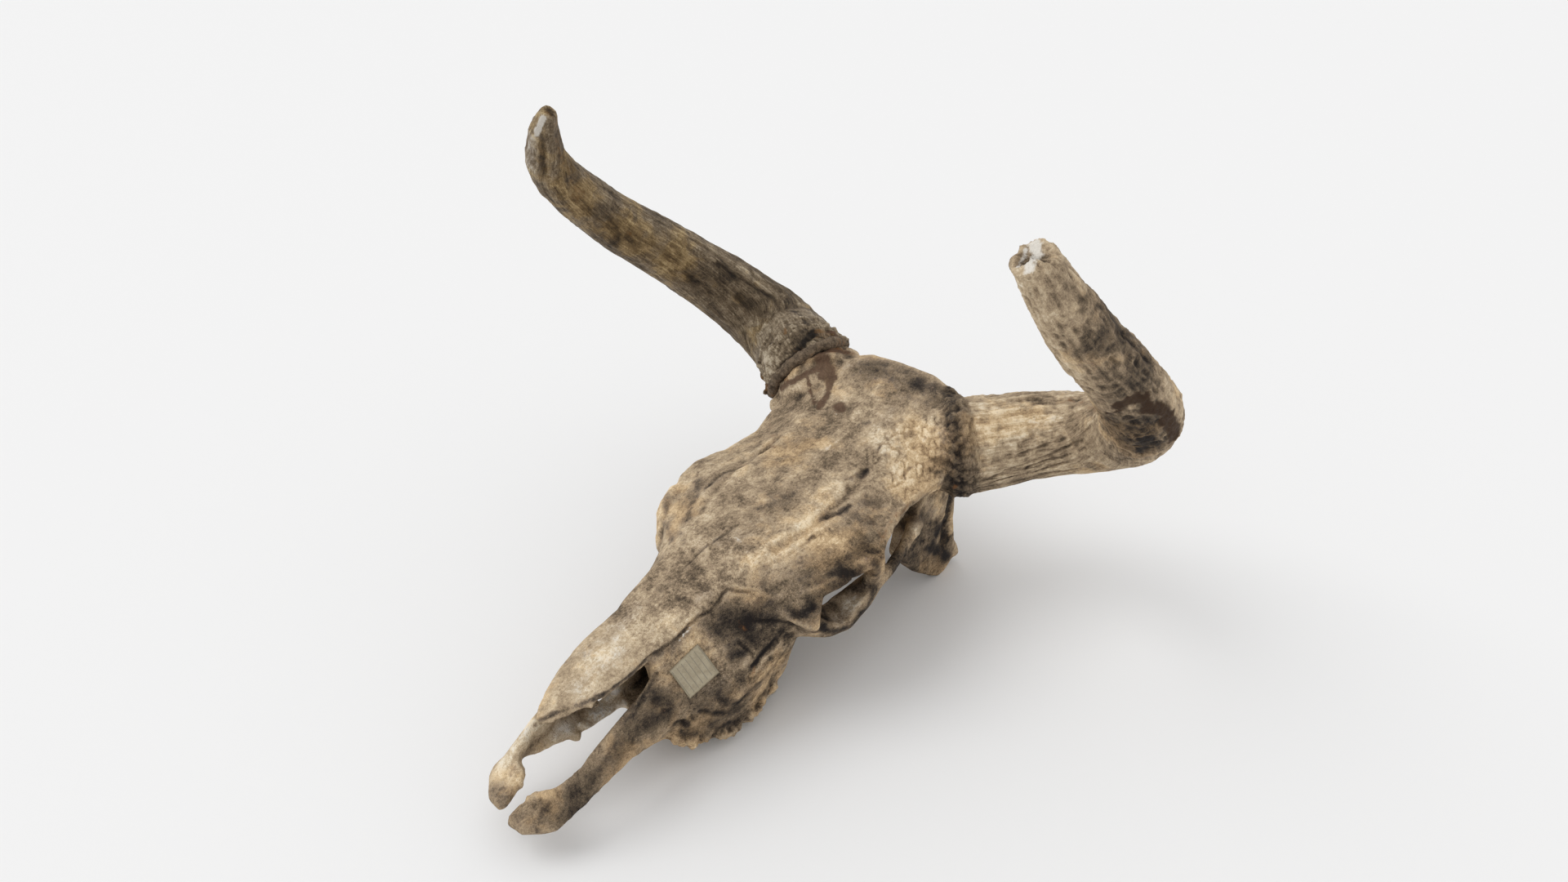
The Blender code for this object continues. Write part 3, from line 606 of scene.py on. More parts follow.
# Marks seen in the photo: half width and strength or depth in mm, then the pixels that they run through
skullMarks = {
    "stain": [
        (26, 0.58, [(1062, 446), (1096, 456), (1126, 470), (1146, 484)]),
        (14, 0.45, [(1040, 436), (1075, 444)]),
        (14, 0.42, [(1080, 458), (1096, 470), (1114, 484)]),
        (9, 0.34, [(1086, 455), (1082, 480)]),
        (15, 0.48, [(1092, 450), (1116, 460), (1142, 476)]),
        (5, 0.75, [(1050, 523), (1062, 518)]),
        (5, 0.75, [(1034, 586), (1040, 584)]),
        (5, 0.80, [(1050, 582), (1060, 576)]),
        (3, 0.60, [(1080, 545), (1074, 558)]),
        (4, 0.60, [(1107, 583), (1114, 572)]),
        (9, 0.85, [(1012, 633), (1026, 627), (1040, 619)]),
        (19, 0.46, [(1180, 492), (1175, 500), (1169, 511), (1166, 525), (1163, 545), (1161, 565), (1160, 585),
                    (1168, 598)]),
        (12, 0.50, [(1036, 621), (1060, 613), (1076, 612)]),
        (12, 0.62, [(1032, 640), (1050, 632), (1062, 640)]),
        (4, 0.85, [(990, 660), (997, 656)]),
        (5, 0.34, [(993, 662), (967, 678), (926, 699)]),
        (11, 0.55, [(944, 606), (960, 613), (975, 600)]),
        (6, 0.60, [(948, 616), (930, 624)]),
        (9, 0.40, [(958, 545), (980, 540), (1000, 536)]),
        (10, 0.40, [(920, 566), (945, 548), (952, 530)]),
        (6, 0.55, [(864, 597), (886, 579), (917, 566), (940, 545)]),
        (9, 0.75, [(857, 588), (850, 612), (840, 636)]),
        (8, 0.70, [(817, 606), (812, 636), (822, 662)]),
        (6, 0.50, [(831, 650), (838, 664)]),
        (4, 0.42, [(903, 643), (884, 656), (858, 675), (842, 691), (833, 700)]),
        (6, 0.30, [(830, 703), (812, 722), (790, 742)]),
        (15, 0.42, [(945, 703), (975, 695), (1000, 684)]),
        (13, 0.44, [(936, 714), (965, 716), (990, 708)]),
        (16, 0.50, [(985, 728), (1003, 718), (1030, 706), (1052, 694)]),
        (9, 0.55, [(1040, 690), (1056, 676), (1066, 660)]),
        (7, 0.55, [(1042, 678), (1030, 690)]),
        # The seam's crack runs through these four rows; along its lower part they paint the shadow under the
        # overhanging edge as dark stain
        (2.6, 0.62, [(917, 725), (903, 723), (892, 721), (885, 727), (880, 736), (869, 749), (857, 755)]),
        (3.2, 0.85, [(857, 755), (846, 765), (828, 783), (812, 794)]),
        (3.4, 1.05, [(812, 794), (793, 806), (782, 818), (765, 833), (740, 850), (712, 860)]),
        (6, 0.70, [(866, 756), (845, 774), (825, 790), (800, 806), (784, 822)]),
        (20, 0.52, [(884, 752), (908, 766), (930, 758), (952, 748)]),
        (16, 0.36, [(925, 735), (950, 728), (980, 722), (1000, 712)]),
        (12, 0.46, [(913, 742), (936, 744), (950, 732)]),
        (9, 0.60, [(868, 768), (884, 782), (898, 792)]),
        (14, 0.32, [(898, 776), (918, 782), (934, 772)]),
        (9, 0.80, [(972, 750), (985, 752), (994, 742)]),
        (4, 0.62, [(922, 762), (945, 759), (972, 765)]),
        (14, 0.60, [(985, 768), (1003, 752), (1012, 735)]),
        (7, 0.55, [(892, 801), (912, 800)]),
        (4, 0.50, [(948, 783), (934, 802), (921, 815)]),
        (9, 0.62, [(880, 856), (890, 861), (905, 860), (914, 851)]),
        (8, 0.50, [(857, 871), (872, 875), (889, 874), (905, 868)]),
        (6, 0.60, [(866, 884), (880, 889), (893, 884)]),
        (7, 0.50, [(918, 845), (930, 838)]),
        (6, 0.85, [(827, 887), (834, 885), (842, 889)]),
        (7, 0.55, [(835, 905), (850, 900)]),
        (14, 0.35, [(800, 850), (815, 868), (800, 880)]),
        (4, 0.80, [(804, 826), (794, 842), (788, 851), (781, 868), (774, 882)]),
        (9, 0.55, [(795, 806), (788, 822), (780, 838)]),
        (10, 0.44, [(737, 941), (752, 923), (758, 905)]),
        (12, 0.26, [(700, 966), (724, 948), (745, 930)]),
        (10, 0.50, [(765, 888), (778, 862), (790, 840)]),
        (9, 0.45, [(632, 1002), (645, 1008), (660, 1012)]),
        (9, 0.40, [(668, 995), (690, 1000), (700, 990)]),
        (10, 0.48, [(608, 968), (616, 982), (624, 975)]),
        (4, 0.70, [(694, 868), (704, 862), (714, 866)]),
        (3, 0.85, [(655, 888), (662, 882), (675, 875), (695, 868)]),
        (5, 0.55, [(718, 863), (732, 861), (746, 856)]),
        (5, 0.50, [(649, 876), (655, 862)]),
        (8, 0.40, [(690, 812), (706, 806), (722, 800)]),
        (8, 0.40, [(664, 851), (676, 838)]),
        (12, 0.45, [(1100, 650), (1120, 640), (1142, 628)]),
        (9, 0.85, [(1163, 610), (1158, 636), (1148, 655)]),
        (9, 0.85, [(1140, 668), (1152, 676), (1162, 684)]),
        (7, 0.80, [(1133, 671), (1148, 673)]),
        (6, 0.75, [(1072, 690), (1076, 706), (1068, 730)]),
        (5, 0.85, [(1000, 772), (1022, 775), (1045, 764), (1062, 744), (1072, 722)]),
        (6, 0.60, [(1006, 745), (1009, 757), (1008, 768)]),
    ],
    "tone": [
        (17, 0.13, [(1140, 497), (1128, 520), (1112, 548), (1106, 575)]),
        (16, 0.14, [(1075, 535), (1085, 560), (1096, 592), (1085, 612)]),
        (13, 0.12, [(1046, 600), (1020, 590), (1000, 600)]),
        (16, 0.08, [(985, 640), (970, 660), (950, 690)]),
        (11, 0.03, [(1020, 665), (1012, 680), (1004, 690)]),
        (20, 0.14, [(1040, 488), (1060, 504), (1072, 522)]),
        (9, -0.30, [(993, 730), (1010, 722), (1030, 712), (1052, 702)]),
        (8, -0.30, [(1004, 744), (1009, 757), (1008, 768), (1025, 773), (1046, 762), (1062, 742),
                    (1072, 720)]),
        (10, -0.13, [(610, 968), (620, 982)]),
        (16, -0.08, [(1392, 560), (1415, 552)]),
        (12, 0.10, [(905, 600), (930, 590), (962, 568)]),
        (12, 0.12, [(880, 625), (862, 650), (838, 680)]),
        (22, -0.05, [(930, 650), (905, 680), (880, 705)]),
        (20, -0.08, [(960, 580), (940, 606), (950, 625)]),
        (14, 0.12, [(830, 570), (842, 590), (826, 612)]),
        (24, 0.09, [(790, 745), (760, 780), (735, 810), (705, 840)]),
        (20, 0.08, [(745, 790), (715, 822), (690, 846)]),
        (14, -0.04, [(664, 866), (656, 878)]),
        (10, 0.42, [(648, 890), (640, 902), (628, 918), (618, 932)]),
        (13, 0.16, [(612, 945), (618, 956), (628, 950)]),
        (11, -0.10, [(828, 720), (846, 735), (866, 728)]),
        (36, -0.27, [(815, 862), (850, 840), (895, 815), (935, 780)]),
        (18, -0.16, [(850, 890), (885, 880), (915, 860)]),
        (9, -0.20, [(828, 902), (850, 908), (880, 898), (912, 880), (935, 858), (946, 840)]),
        (14, -0.28, [(985, 750), (1003, 734), (1025, 716), (1048, 704)]),
        (22, -0.12, [(1000, 700), (1040, 680), (1075, 648)]),
        (18, -0.22, [(1395, 525), (1405, 548)]),
        (7, -0.26, [(955, 468), (972, 452), (992, 440), (1010, 431), (1030, 428), (1052, 432)]),
        (24, -0.22, [(892, 748), (915, 752), (935, 744)]),
        # Painted light: this row lightens the inner wall under the nasal, which lies in shade
        (18, 0.44, [(735, 862), (752, 850), (768, 843)]),
        (16, 0.40, [(668, 893), (690, 886), (715, 877)]),
        (14, 0.14, [(893, 813), (906, 815), (918, 806)]),
        (10, 0.10, [(905, 790), (922, 787)]),
        (9, 0.10, [(868, 790), (884, 800), (888, 818)]),
        (5, 0.26, [(956, 747), (966, 752), (974, 760), (988, 767)]),
        (5, 0.32, [(972, 771), (952, 792), (938, 806), (923, 822)]),
        (6, -0.14, [(950, 782), (932, 803), (918, 818)]),
        (5, 0.16, [(940, 782), (926, 798), (912, 812)]),
        (6, 0.14, [(980, 776), (962, 800), (948, 822)]),
        (5, -0.12, [(968, 796), (956, 816), (944, 838)]),
        (22, -0.25, [(790, 885), (768, 912), (742, 945), (712, 975)]),
        (14, -0.10, [(625, 1000), (650, 1008), (690, 1008)]),
        (6, 0.14, [(783, 905), (800, 897), (818, 890)]),
        (16, -0.06, [(640, 990), (672, 985)]),
        (16, -0.20, [(695, 1000), (715, 985)]),
        (24, -0.19, [(1060, 446), (1090, 456), (1135, 478)]),
        (22, -0.12, [(1085, 640), (1060, 675), (1030, 705)]),
        (13, -0.34, [(1040, 724), (1057, 709), (1070, 690), (1080, 664)]),
        (13, -0.22, [(1098, 640), (1120, 622)]),
        (22, -0.44, [(1098, 690), (1125, 696), (1145, 698)]),
        (14, -0.22, [(1140, 668), (1160, 680)]),
        (12, 0.10, [(1030, 750), (1050, 735)]),
        (24, -0.05, [(905, 740), (950, 732), (985, 722)]),
        # Painted light: this row lightens the floor of the eye socket, which lies in shade
        (14, 0.30, [(1090, 640), (1104, 655), (1122, 650), (1145, 630)]),
        (13, 0.28, [(1022, 756), (1036, 746), (1048, 732)]),
        (11, 0.05, [(1110, 690), (1130, 698)]),
        (12, -0.36, [(1130, 640), (1150, 645), (1158, 662)]),
        (5, -0.10, [(1172, 600), (1141, 597), (1120, 613), (1090, 638), (1078, 660), (1075, 700)]),
        (12, 0.20, [(1198, 500), (1230, 508), (1262, 520), (1290, 515)]),
        (12, 0.22, [(1192, 530), (1225, 535), (1252, 530)]),
        (10, 0.10, [(1190, 560), (1215, 556), (1240, 545)]),
        (8, -0.12, [(1212, 487), (1260, 486), (1310, 490)]),
        (8, -0.16, [(1210, 600), (1250, 588), (1300, 578), (1360, 574)]),
        (20, -0.12, [(1186, 540), (1180, 570)]),
        (16, -0.08, [(1290, 555), (1330, 545)]),
        (12, 0.05, [(1340, 530), (1350, 550), (1352, 566)]),
        (36, -0.40, [(1384, 544), (1402, 530), (1380, 518)]),
        (14, -0.20, [(1360, 520), (1372, 535)]),
        (16, -0.16, [(1366, 560), (1390, 560), (1415, 545)]),
        (26, -0.34, [(1408, 450), (1392, 424), (1374, 402), (1350, 376)]),
        (26, -0.26, [(1340, 425), (1362, 450), (1376, 470)]),
        (16, -0.14, [(1318, 395), (1332, 425)]),
        (9, 0.10, [(1420, 462), (1430, 480), (1438, 500)]),
        (12, 0.16, [(1247, 345), (1262, 378), (1282, 410), (1305, 440), (1326, 466)]),
        (12, 0.06, [(1262, 340), (1285, 372), (1310, 405)]),
        (8, -0.14, [(1285, 318), (1308, 345), (1330, 368)]),
    ],
    "warm": [
        (26, 0.35, [(1100, 600), (1060, 650), (1020, 680)]),
        (20, 0.30, [(840, 600), (830, 640)]),
        (26, 0.70, [(1220, 520), (1260, 520)]),
        (22, 0.60, [(1110, 660), (1060, 680)]),
        (24, 0.50, [(1110, 600), (1140, 560)]),
        (26, 0.50, [(1385, 545), (1405, 530)]),
        (24, 0.30, [(960, 800), (930, 830), (850, 880)]),
        (24, 0.12, [(790, 900), (740, 950)]),
        (30, 0.30, [(960, 560), (1000, 520)]),
    ],
    "cool": [
        (14, 0.65, [(720, 800), (742, 782), (764, 762), (782, 744)]),
        (14, 0.50, [(700, 845), (730, 822), (760, 800)]),
        (12, 0.55, [(1030, 445), (1060, 452), (1100, 470)]),
        (16, 0.45, [(1090, 500), (1080, 520)]),
        (26, 0.80, [(690, 890), (725, 875), (750, 855)]),
        (16, 0.65, [(1020, 758), (1040, 742), (1052, 724)]),
        (8, 0.50, [(1262, 518), (1292, 521)]),
        (22, 0.35, [(940, 640), (905, 650), (880, 660)]),
        (10, 0.55, [(855, 735), (868, 728)]),
        (12, 0.50, [(885, 835), (872, 842)]),
        (12, 0.45, [(1156, 520), (1160, 560)]),
    ],
    "rust": [
        (3.5, 0.62, [(1170, 596), (1141, 597), (1120, 612), (1092, 636), (1079, 660), (1074, 690)]),
        (3, 0.80, [(921, 823), (924, 818)]),
        (6, 0.95, [(1046, 433), (1030, 428), (1018, 430)]),
        (8, 0.90, [(938, 482), (950, 474), (962, 466)]),
        (6, 0.45, [(949, 500), (942, 520), (948, 540)]),
        (6, 0.35, [(940, 548), (960, 552), (985, 545)]),
        (5, 0.60, [(1311, 489), (1328, 494), (1343, 503)]),
        (5, 0.45, [(905, 762), (911, 770)]),
        (7, 0.35, [(950, 596), (962, 600)]),
    ],
    "umber": [
        (9, 1.00, [(1370, 499), (1384, 489), (1400, 489), (1408, 498)]),
        (9, 1.00, [(1404, 500), (1418, 500), (1430, 508), (1438, 520), (1440, 534)]),
        (6, 0.85, [(1424, 512), (1430, 524), (1434, 540)]),
        (4, 0.90, [(1344, 506), (1356, 505), (1370, 503)]),
        (4, 0.70, [(1352, 507), (1362, 515)]),
    ],
    "white": [
        (7, 1.00, [(1266, 298), (1267, 312), (1261, 328)]),
        (3, 0.80, [(1256, 306), (1251, 318), (1246, 328)]),
        (2.2, 0.60, [(1019, 503), (1026, 508)]),
        (1.4, 0.62, [(858, 757), (841, 774), (830, 786)]),
        (1.8, 0.42, [(898, 656), (908, 664), (914, 672), (919, 684)]),
        (2.0, 0.42, [(997, 563), (1016, 547), (1037, 530)]),
        (2.2, 0.45, [(1036, 745), (1043, 738), (1049, 729)]),
        (5.0, 0.55, [(645, 892), (636, 904), (627, 918)]),
    ],
    "filler": [
        (12, 1.0, [(1009, 441), (1015, 455)]),
        (7, 1.0, [(1005, 461), (1022, 463)]),
        (5, 0.86, [(942, 481), (956, 475), (974, 466), (988, 457), (1003, 450)]),
        (2.8, 0.86, [(988, 462), (991, 478), (999, 494)]),
        (5, 1.0, [(1016, 464), (1013, 480), (1005, 498)]),
        (7.5, 1.0, [(1026, 497), (1030, 500)]),
        (3, 1.0, [(1000, 434), (1020, 429), (1040, 431)]),
        (3, 0.9, [(945, 480), (955, 474)]),
    ],
}
skullCarving = [  # half width, depth (below 0 is raised), pixels
    (3.0, 2.6, [(1012, 633), (1026, 627), (1040, 619)]),
    (2.2, 1.8, [(990, 660), (997, 656)]),
    (1.8, 0.8, [(1009, 650), (993, 662), (967, 678), (926, 699)]),
    (1.8, 1.4, [(903, 643), (884, 656), (858, 675), (842, 691), (833, 700)]),
    (2.0, 2.8, [(917, 725), (903, 723), (892, 721), (885, 727), (880, 736), (869, 749), (857, 755),
                (846, 765), (828, 783), (812, 794), (793, 806), (782, 818), (765, 833), (740, 850)]),
    (2.4, 1.6, [(864, 597), (886, 579), (917, 566), (940, 545)]),
    (2.0, 1.8, [(804, 826), (794, 842), (788, 851), (781, 868)]),
    (4.5, 5.0, [(830, 886), (837, 886)]),
    (2.6, 2.4, [(1036, 586), (1048, 581), (1060, 575)]),
    (2.0, 2.4, [(1104, 585), (1113, 573)]),
    (1.8, 2.0, [(1078, 545), (1073, 560)]),
    (4.5, -2.6, [(1000, 770), (984, 767), (972, 760), (956, 748)]),
    (2.6, 2.6, [(924, 762), (945, 759), (970, 765)]),
    (3.0, -1.4, [(1162, 596), (1132, 603), (1105, 624), (1085, 648)]),
    (2.2, -0.9, [(997, 563), (1016, 547), (1037, 530)]),
    (2.2, -0.8, [(898, 656), (908, 664), (914, 672), (919, 684)]),
    (3.0, 2.0, [(880, 857), (905, 861), (914, 851)]),
    (2.4, 1.6, [(857, 871), (872, 875), (889, 874)]),
    (2.2, 2.4, [(948, 783), (934, 802), (921, 815)]),
    (2.0, 1.6, [(966, 790), (950, 815), (942, 838)]),
    (3.0, -2.6, [(1159, 604), (1156, 628), (1144, 644), (1120, 657)]),
    (4.0, 2.6, [(1165, 612), (1162, 634), (1152, 652), (1128, 664)]),
    (1.8, 2.4, [(1216, 567), (1257, 554), (1275, 546), (1302, 538), (1329, 527), (1343, 512)]),
    (2.0, 3.2, [(1266, 565), (1284, 558), (1302, 550), (1325, 540)]),
    (1.8, 2.6, [(1257, 574), (1284, 564), (1307, 557), (1329, 549)]),
    (1.6, 2.0, [(1203, 590), (1232, 576), (1257, 568), (1289, 560)]),
    (1.6, 2.0, [(1198, 598), (1225, 588), (1257, 579), (1298, 569), (1334, 560)]),
    (1.6, 1.6, [(1280, 579), (1311, 572), (1334, 567)]),
    (1.6, 1.4, [(1292, 528), (1318, 520), (1340, 510)]),
    (1.4, 1.0, [(1255, 519), (1278, 521), (1300, 517)]),
    (2.4, 2.4, [(662, 884), (675, 876), (695, 868)]),
    (3.2, 4.5, [(945, 845), (943, 849)]),
    (3.2, 4.5, [(929, 864), (927, 866)]),
    (3.0, 4.5, [(913, 882), (912, 885)]),
    (3.2, 4.5, [(896, 893), (894, 896)]),
    (3.0, 4.0, [(874, 902), (872, 905)]),
    (3.0, 4.0, [(858, 908), (857, 910)]),
    (3.0, -3.2, [(936, 856), (934, 862)]),
    (3.0, -3.5, [(920, 874), (919, 879)]),
    (2.6, -3.2, [(905, 887), (904, 890)]),
    (3.0, -3.2, [(888, 899), (887, 902)]),
    (2.6, -3.0, [(866, 905), (865, 908)]),
    (3.0, -1.8, [(969, 770), (950, 790), (934, 809), (923, 822)]),
    (3.0, -2.4, [(633, 938), (641, 948), (637, 956)]),
    (2.4, 2.0, [(905, 786), (920, 800), (926, 818)]),
]
edgeBits = [  # ragged crumbs on the edges: count, size in mm, pixels
    (3, 5.2, [(696, 898), (700, 903), (704, 901)]),
    (2, 4.8, [(713, 888), (717, 891)]),
    (5, 4.4, [(722, 863), (732, 861), (744, 856)]),
    (5, 4.6, [(642, 942), (645, 950), (641, 962)]),
    (5, 5.6, [(650, 979), (662, 974), (675, 973)]),
    (3, 4.8, [(919, 872), (918, 880)]),
    (3, 4.6, [(906, 884), (903, 888)]),
    (3, 4.4, [(888, 898), (886, 900)]),
    (4, 4.4, [(1250, 300), (1242, 312), (1240, 326)]),
    (3, 4.0, [(1268, 293), (1275, 297)]),
]
edgeBitShape = {"stretch": (1.1, 0.8, 0.9), "seed": 5}
burrKnobs = {"count": 60, "size": 4.2, "stretch": (1.0, 1.0, 0.8), "seed": 7}
toothShards = {"count": 46, "size": 5.0, "stretch": (0.6, 0.9, 1.7), "seed": 3,
               "pixels": [(826, 903), (836, 909), (850, 908), (865, 902), (880, 897), (893, 893), (905, 885),
                          (915, 876), (925, 866), (933, 858), (940, 846), (948, 838)]}


lumpTurn = ((-0.6, -0.6, -3.1), (0.6, 0.6, 3.1))  # least and most, in radians
lumpScale = (0.45, 1.35)


def scatterTree(name):
    # Lumps along a path, of uneven size and turn, made real and given their material.
    tree = bpy.data.node_groups.new(name, "GeometryNodeTree")
    face = tree.interface
    face.new_socket("Geometry", in_out="INPUT", socket_type="NodeSocketGeometry")
    for title, kind in (("Count", "NodeSocketInt"), ("Size", "NodeSocketFloat"),
                        ("Stretch", "NodeSocketVector"), ("Seed", "NodeSocketInt"),
                        ("Material", "NodeSocketMaterial")):
        face.new_socket(title, in_out="INPUT", socket_type=kind)
    face.new_socket("Geometry", in_out="OUTPUT", socket_type="NodeSocketGeometry")

    def add(kind, settings=None, inputs=None):
        made = tree.nodes.new(kind)
        for key, value in (settings or {}).items():
            setattr(made, key, value)
        for key, value in (inputs or {}).items():
            if isinstance(value, bpy.types.NodeSocket):
                tree.links.new(value, made.inputs[key])
            else:
                made.inputs[key].default_value = value
        return made

    given = add("NodeGroupInput")
    points = add("GeometryNodeCurveToPoints", {"mode": "COUNT"},
                 {"Curve": given.outputs["Geometry"], "Count": given.outputs["Count"]})
    lump = add("GeometryNodeMeshIcoSphere", None, {"Radius": given.outputs["Size"], "Subdivisions": 2})
    shaped = add("GeometryNodeTransform", None,
                 {"Geometry": lump.outputs[0], "Scale": given.outputs["Stretch"]})
    turn = add("FunctionNodeRandomValue", {"data_type": "FLOAT_VECTOR"},
               {0: lumpTurn[0], 1: lumpTurn[1], "Seed": given.outputs["Seed"]})
    scale = add("FunctionNodeRandomValue", {"data_type": "FLOAT"},
                {2: lumpScale[0], 3: lumpScale[1], "Seed": given.outputs["Seed"]})
    placed = add("GeometryNodeInstanceOnPoints", None,
                 {"Points": points.outputs["Points"], "Instance": shaped.outputs[0],
                  "Rotation": turn.outputs[0], "Scale": scale.outputs[1]})
    real = add("GeometryNodeRealizeInstances", None, {"Geometry": placed.outputs[0]})
    coated = add("GeometryNodeSetMaterial", None,
                 {"Geometry": real.outputs[0], "Material": given.outputs["Material"]})
    add("NodeGroupOutput", None, {"Geometry": coated.outputs[0]})
    return tree


scatter = scatterTree("scatterAlong")


def scattered(name, path, look, material, closed=False):
    curve = bpy.data.curves.new(name, "CURVE")
    curve.dimensions = "3D"
    line = curve.splines.new("POLY")
    line.points.add(len(path) - 1)
    line.use_cyclic_u = closed
    for point, spot in zip(line.points, path):
        point.co = (*inWorld(spot), 1)
    holder = bpy.data.objects.new(name, curve)
    bpy.context.scene.collection.objects.link(holder)
    nodes = holder.modifiers.new("scatter", "NODES")
    nodes.node_group = scatter
    values = {"Count": look["count"], "Size": look["size"] * mm, "Stretch": look["stretch"],
              "Seed": look["seed"], "Material": material}
    for item in scatter.interface.items_tree:
        if item.in_out == "INPUT" and item.name in values:
            nodes[item.identifier] = values[item.name]
    bpy.context.view_layer.update()
    mesh = bpy.data.meshes.new_from_object(holder.evaluated_get(bpy.context.evaluated_depsgraph_get()))
    bpy.data.objects.remove(holder)
    return mesh


def ringRound(horn, run, count=40):  # a ring of points round a horn at a distance along it
    route = smoothRoute(horn["stations"])
    middles = route[:, :3]
    length = runAlong(middles)
    spot = np.array([np.interp(run, length, middles[:, axis]) for axis in range(3)])
    ahead = np.array([np.interp(run + 3, length, middles[:, axis]) for axis in range(3)])
    radius = np.interp(run, length, route[:, 3])
    way = (ahead - spot) / np.linalg.norm(ahead - spot)
    side = np.cross(way, (0, 0, 1))
    side /= np.linalg.norm(side)
    top = np.cross(side, way)
    turns = np.linspace(0, 2 * math.pi, count, endpoint=False)
    return [spot + radius * (math.sin(t) * side + math.cos(t) * top) for t in turns]


def snapped(surface, path):  # each point moved to the nearest place on the bone
    return [inSkull(np.array(surface.find_nearest(Vector(inWorld(spot)))[0])) for spot in path]


def burrShare(spots, horn):  # 1 on the burr, falling away on both sides
    return np.exp(-((spots["run"] - horn["burrRun"]) / horn["burrWidth"]) ** 2)


# Relief of both horn cores: runs past the burr, lump sizes and depths in mm
hornGrain = {
    "stretch": 0.045,
    "fluteSize": 8.0,
    "fluteRun": (90, 120),  # middle and spread
    "knobs": [(8, 2.2, 13), (4.2, 1.2, 14)],
    "wormSize": 6.5,
    "wormDepth": 1.5,
    "wormRun": (220, 330),
    "farLumps": [(9, 0.8, 18)],
}


def hornRelief(points, spots, horn):
    # Long flutes and fine fibres, small knobs on the top side, worm-like wrinkles far out, a rough burr.
    look, start = hornGrain, horn["burrRun"]
    flow = hornFlow(spots, look["stretch"])
    past = stepUp(spots["run"], start + 6, start + 24)
    near = np.exp(-((spots["run"] - start - look["fluteRun"][0]) / look["fluteRun"][1]) ** 2)
    under = 0.30 + 0.70 * stepUp(-np.cos(spots["turn"]), -0.3, 0.6)
    ridges = 1 - 2 * np.abs(grain(flow, look["fluteSize"], 5))
    height = -horn["fluteDepth"] * near * under * np.clip(ridges, 0, 1) ** 2
    height += horn["fibreDepth"] * (grain(flow * (1, 2.5, 1), 3.6, 11) + 0.6 * grain(flow, 6.5, 12))
    height += near * (1 - under) * horn["wrinkled"] * lumps(points, look["knobs"])
    worm = 1 - 2 * np.abs(grain(hornFlow(spots, 0.6), look["wormSize"], 17))
    far = stepUp(spots["run"], start + look["wormRun"][0], start + look["wormRun"][1])
    height += far * (look["wormDepth"] * (worm - 0.3) + lumps(points, look["farLumps"])) * horn["wrinkled"]
    rough = (0.55 - cells(points, 9.0, 3)) * 5.0 + (0.5 - cells(points, 4.6, 6)) * 2.2
    rough = rough + grain(points, 3.2, 4) * 0.8
    return height * past + burrShare(spots, horn) * rough


def carve(relief, points, surface, rows, wander, fade):
    # Cuts each row's line into the relief, with an edge that wanders and a depth that fades in places.
    for half, depth, pixels in rows:
        path = onSurface(surface, pixels)
        if len(path):
            relief -= depth * lineShare(points + wander * min(half, 4) * 0.4, path, half) * fade


# Folds and fissures run aslant: a turn about the upright
wrinkleTurn = np.array([[0.80, -0.60, 0.0], [0.60, 0.80, 0.0], [0.0, 0.0, 1.0]])


evenKinds = ("umber", "filler", "white")  # marks whose strength does not come and go


def markShares(points, surface, marks):
    # Each kind's marks as numbers on the points: tones add up, and of the others the strongest counts.
    shares = {}
    wander = wobbled(points)
    fade = 0.85 + 0.35 * grain(points, 13, 97)
    for kind, rows in marks.items():
        total = np.zeros(len(points))
        for half, strength, pixels in rows:
            path = onSurface(surface, pixels)
            if len(path):
                share = lineShare(points + wander * min(half, 6) * 0.42, path, half) * strength
                share *= 1 if kind in evenKinds else fade
                total = total + share if kind == "tone" else np.maximum(total, share)
        shares[kind] = total
    return shares


def leftHornShares(points):  # places along the left horn, shares on it and past its burr
    spots = hornPlaces(points, leftHorn)
    onHorn = stepUp(spots["radius"] * 1.5 - spots["far"], 0, 12) * stepUp(spots["run"], 30, 50)
    past = onHorn * stepUp(spots["run"], leftHorn["burrRun"], leftHorn["burrRun"] + 20)
    return spots, onHorn, past


def skullFolds(points):  # 1 on the crest of a fold
    return 1 - 2 * np.abs(grain(points @ wrinkleTurn * (1.0, 0.45, 1.0), 7.5, 41))


skullSkin = {  # lengths in mm
    "voxel": 2.4,
    "easing": 14,
    "mostFaces": 195000,
    "knobRings": [(7, 50), (19, 62)],  # seed, and distance along the left horn
    "uneven": [(26, 0.50, 21), (9, 0.28, 22), (4.5, 0.16, 23)],
    "foldPath": [(1075, 560), (1110, 530), (1140, 520), (1130, 570), (1100, 585)],
    "foldHalf": 20,
    "foldDepth": 2.8,
    "toothRow": {"height": (14, 40), "rear": (-66, -48), "front": (-215, -195), "ragged": 2.4, "pits": 2.0},
    "rootLip": {"reach": 12, "lumps": [(9, 2.0, 77), (4.4, 1.2, 78)], "sunk": 0.8},
    "brokenEnd": {"from": 16, "to": 6, "rough": 1.1, "pits": 1.5},
}
skullWeather = {  # shares of tone, stain, painted shade and rust by place; lengths in mm
    "fineRounds": 8,  # of easing, for the painted shade and dirt in small and in wide hollows
    "wideRounds": 70,
    # painted shade on faces turned down
    "undersideShade": 0.10,
    # These two make the bone darker towards the bottom
    "lowTone": 0.08,
    "lowDarkening": 0.12,
    "lowHeight": (120, 175),  # where the darker low parts end
    "burrTone": 0.21,
    "burrStain": 0.54,
    "hornTone": 0.06,
    # painted shade in the fold creases
    "foldCreaseShade": 0.35,
    "lipReach": 13,  # bone beside the filler
    "lipTone": 0.26,
    "lipStain": 0.40,
    "lipRust": 0.75,
    "calmForehead": 0.45,
    "calmBars": 0.80,
}


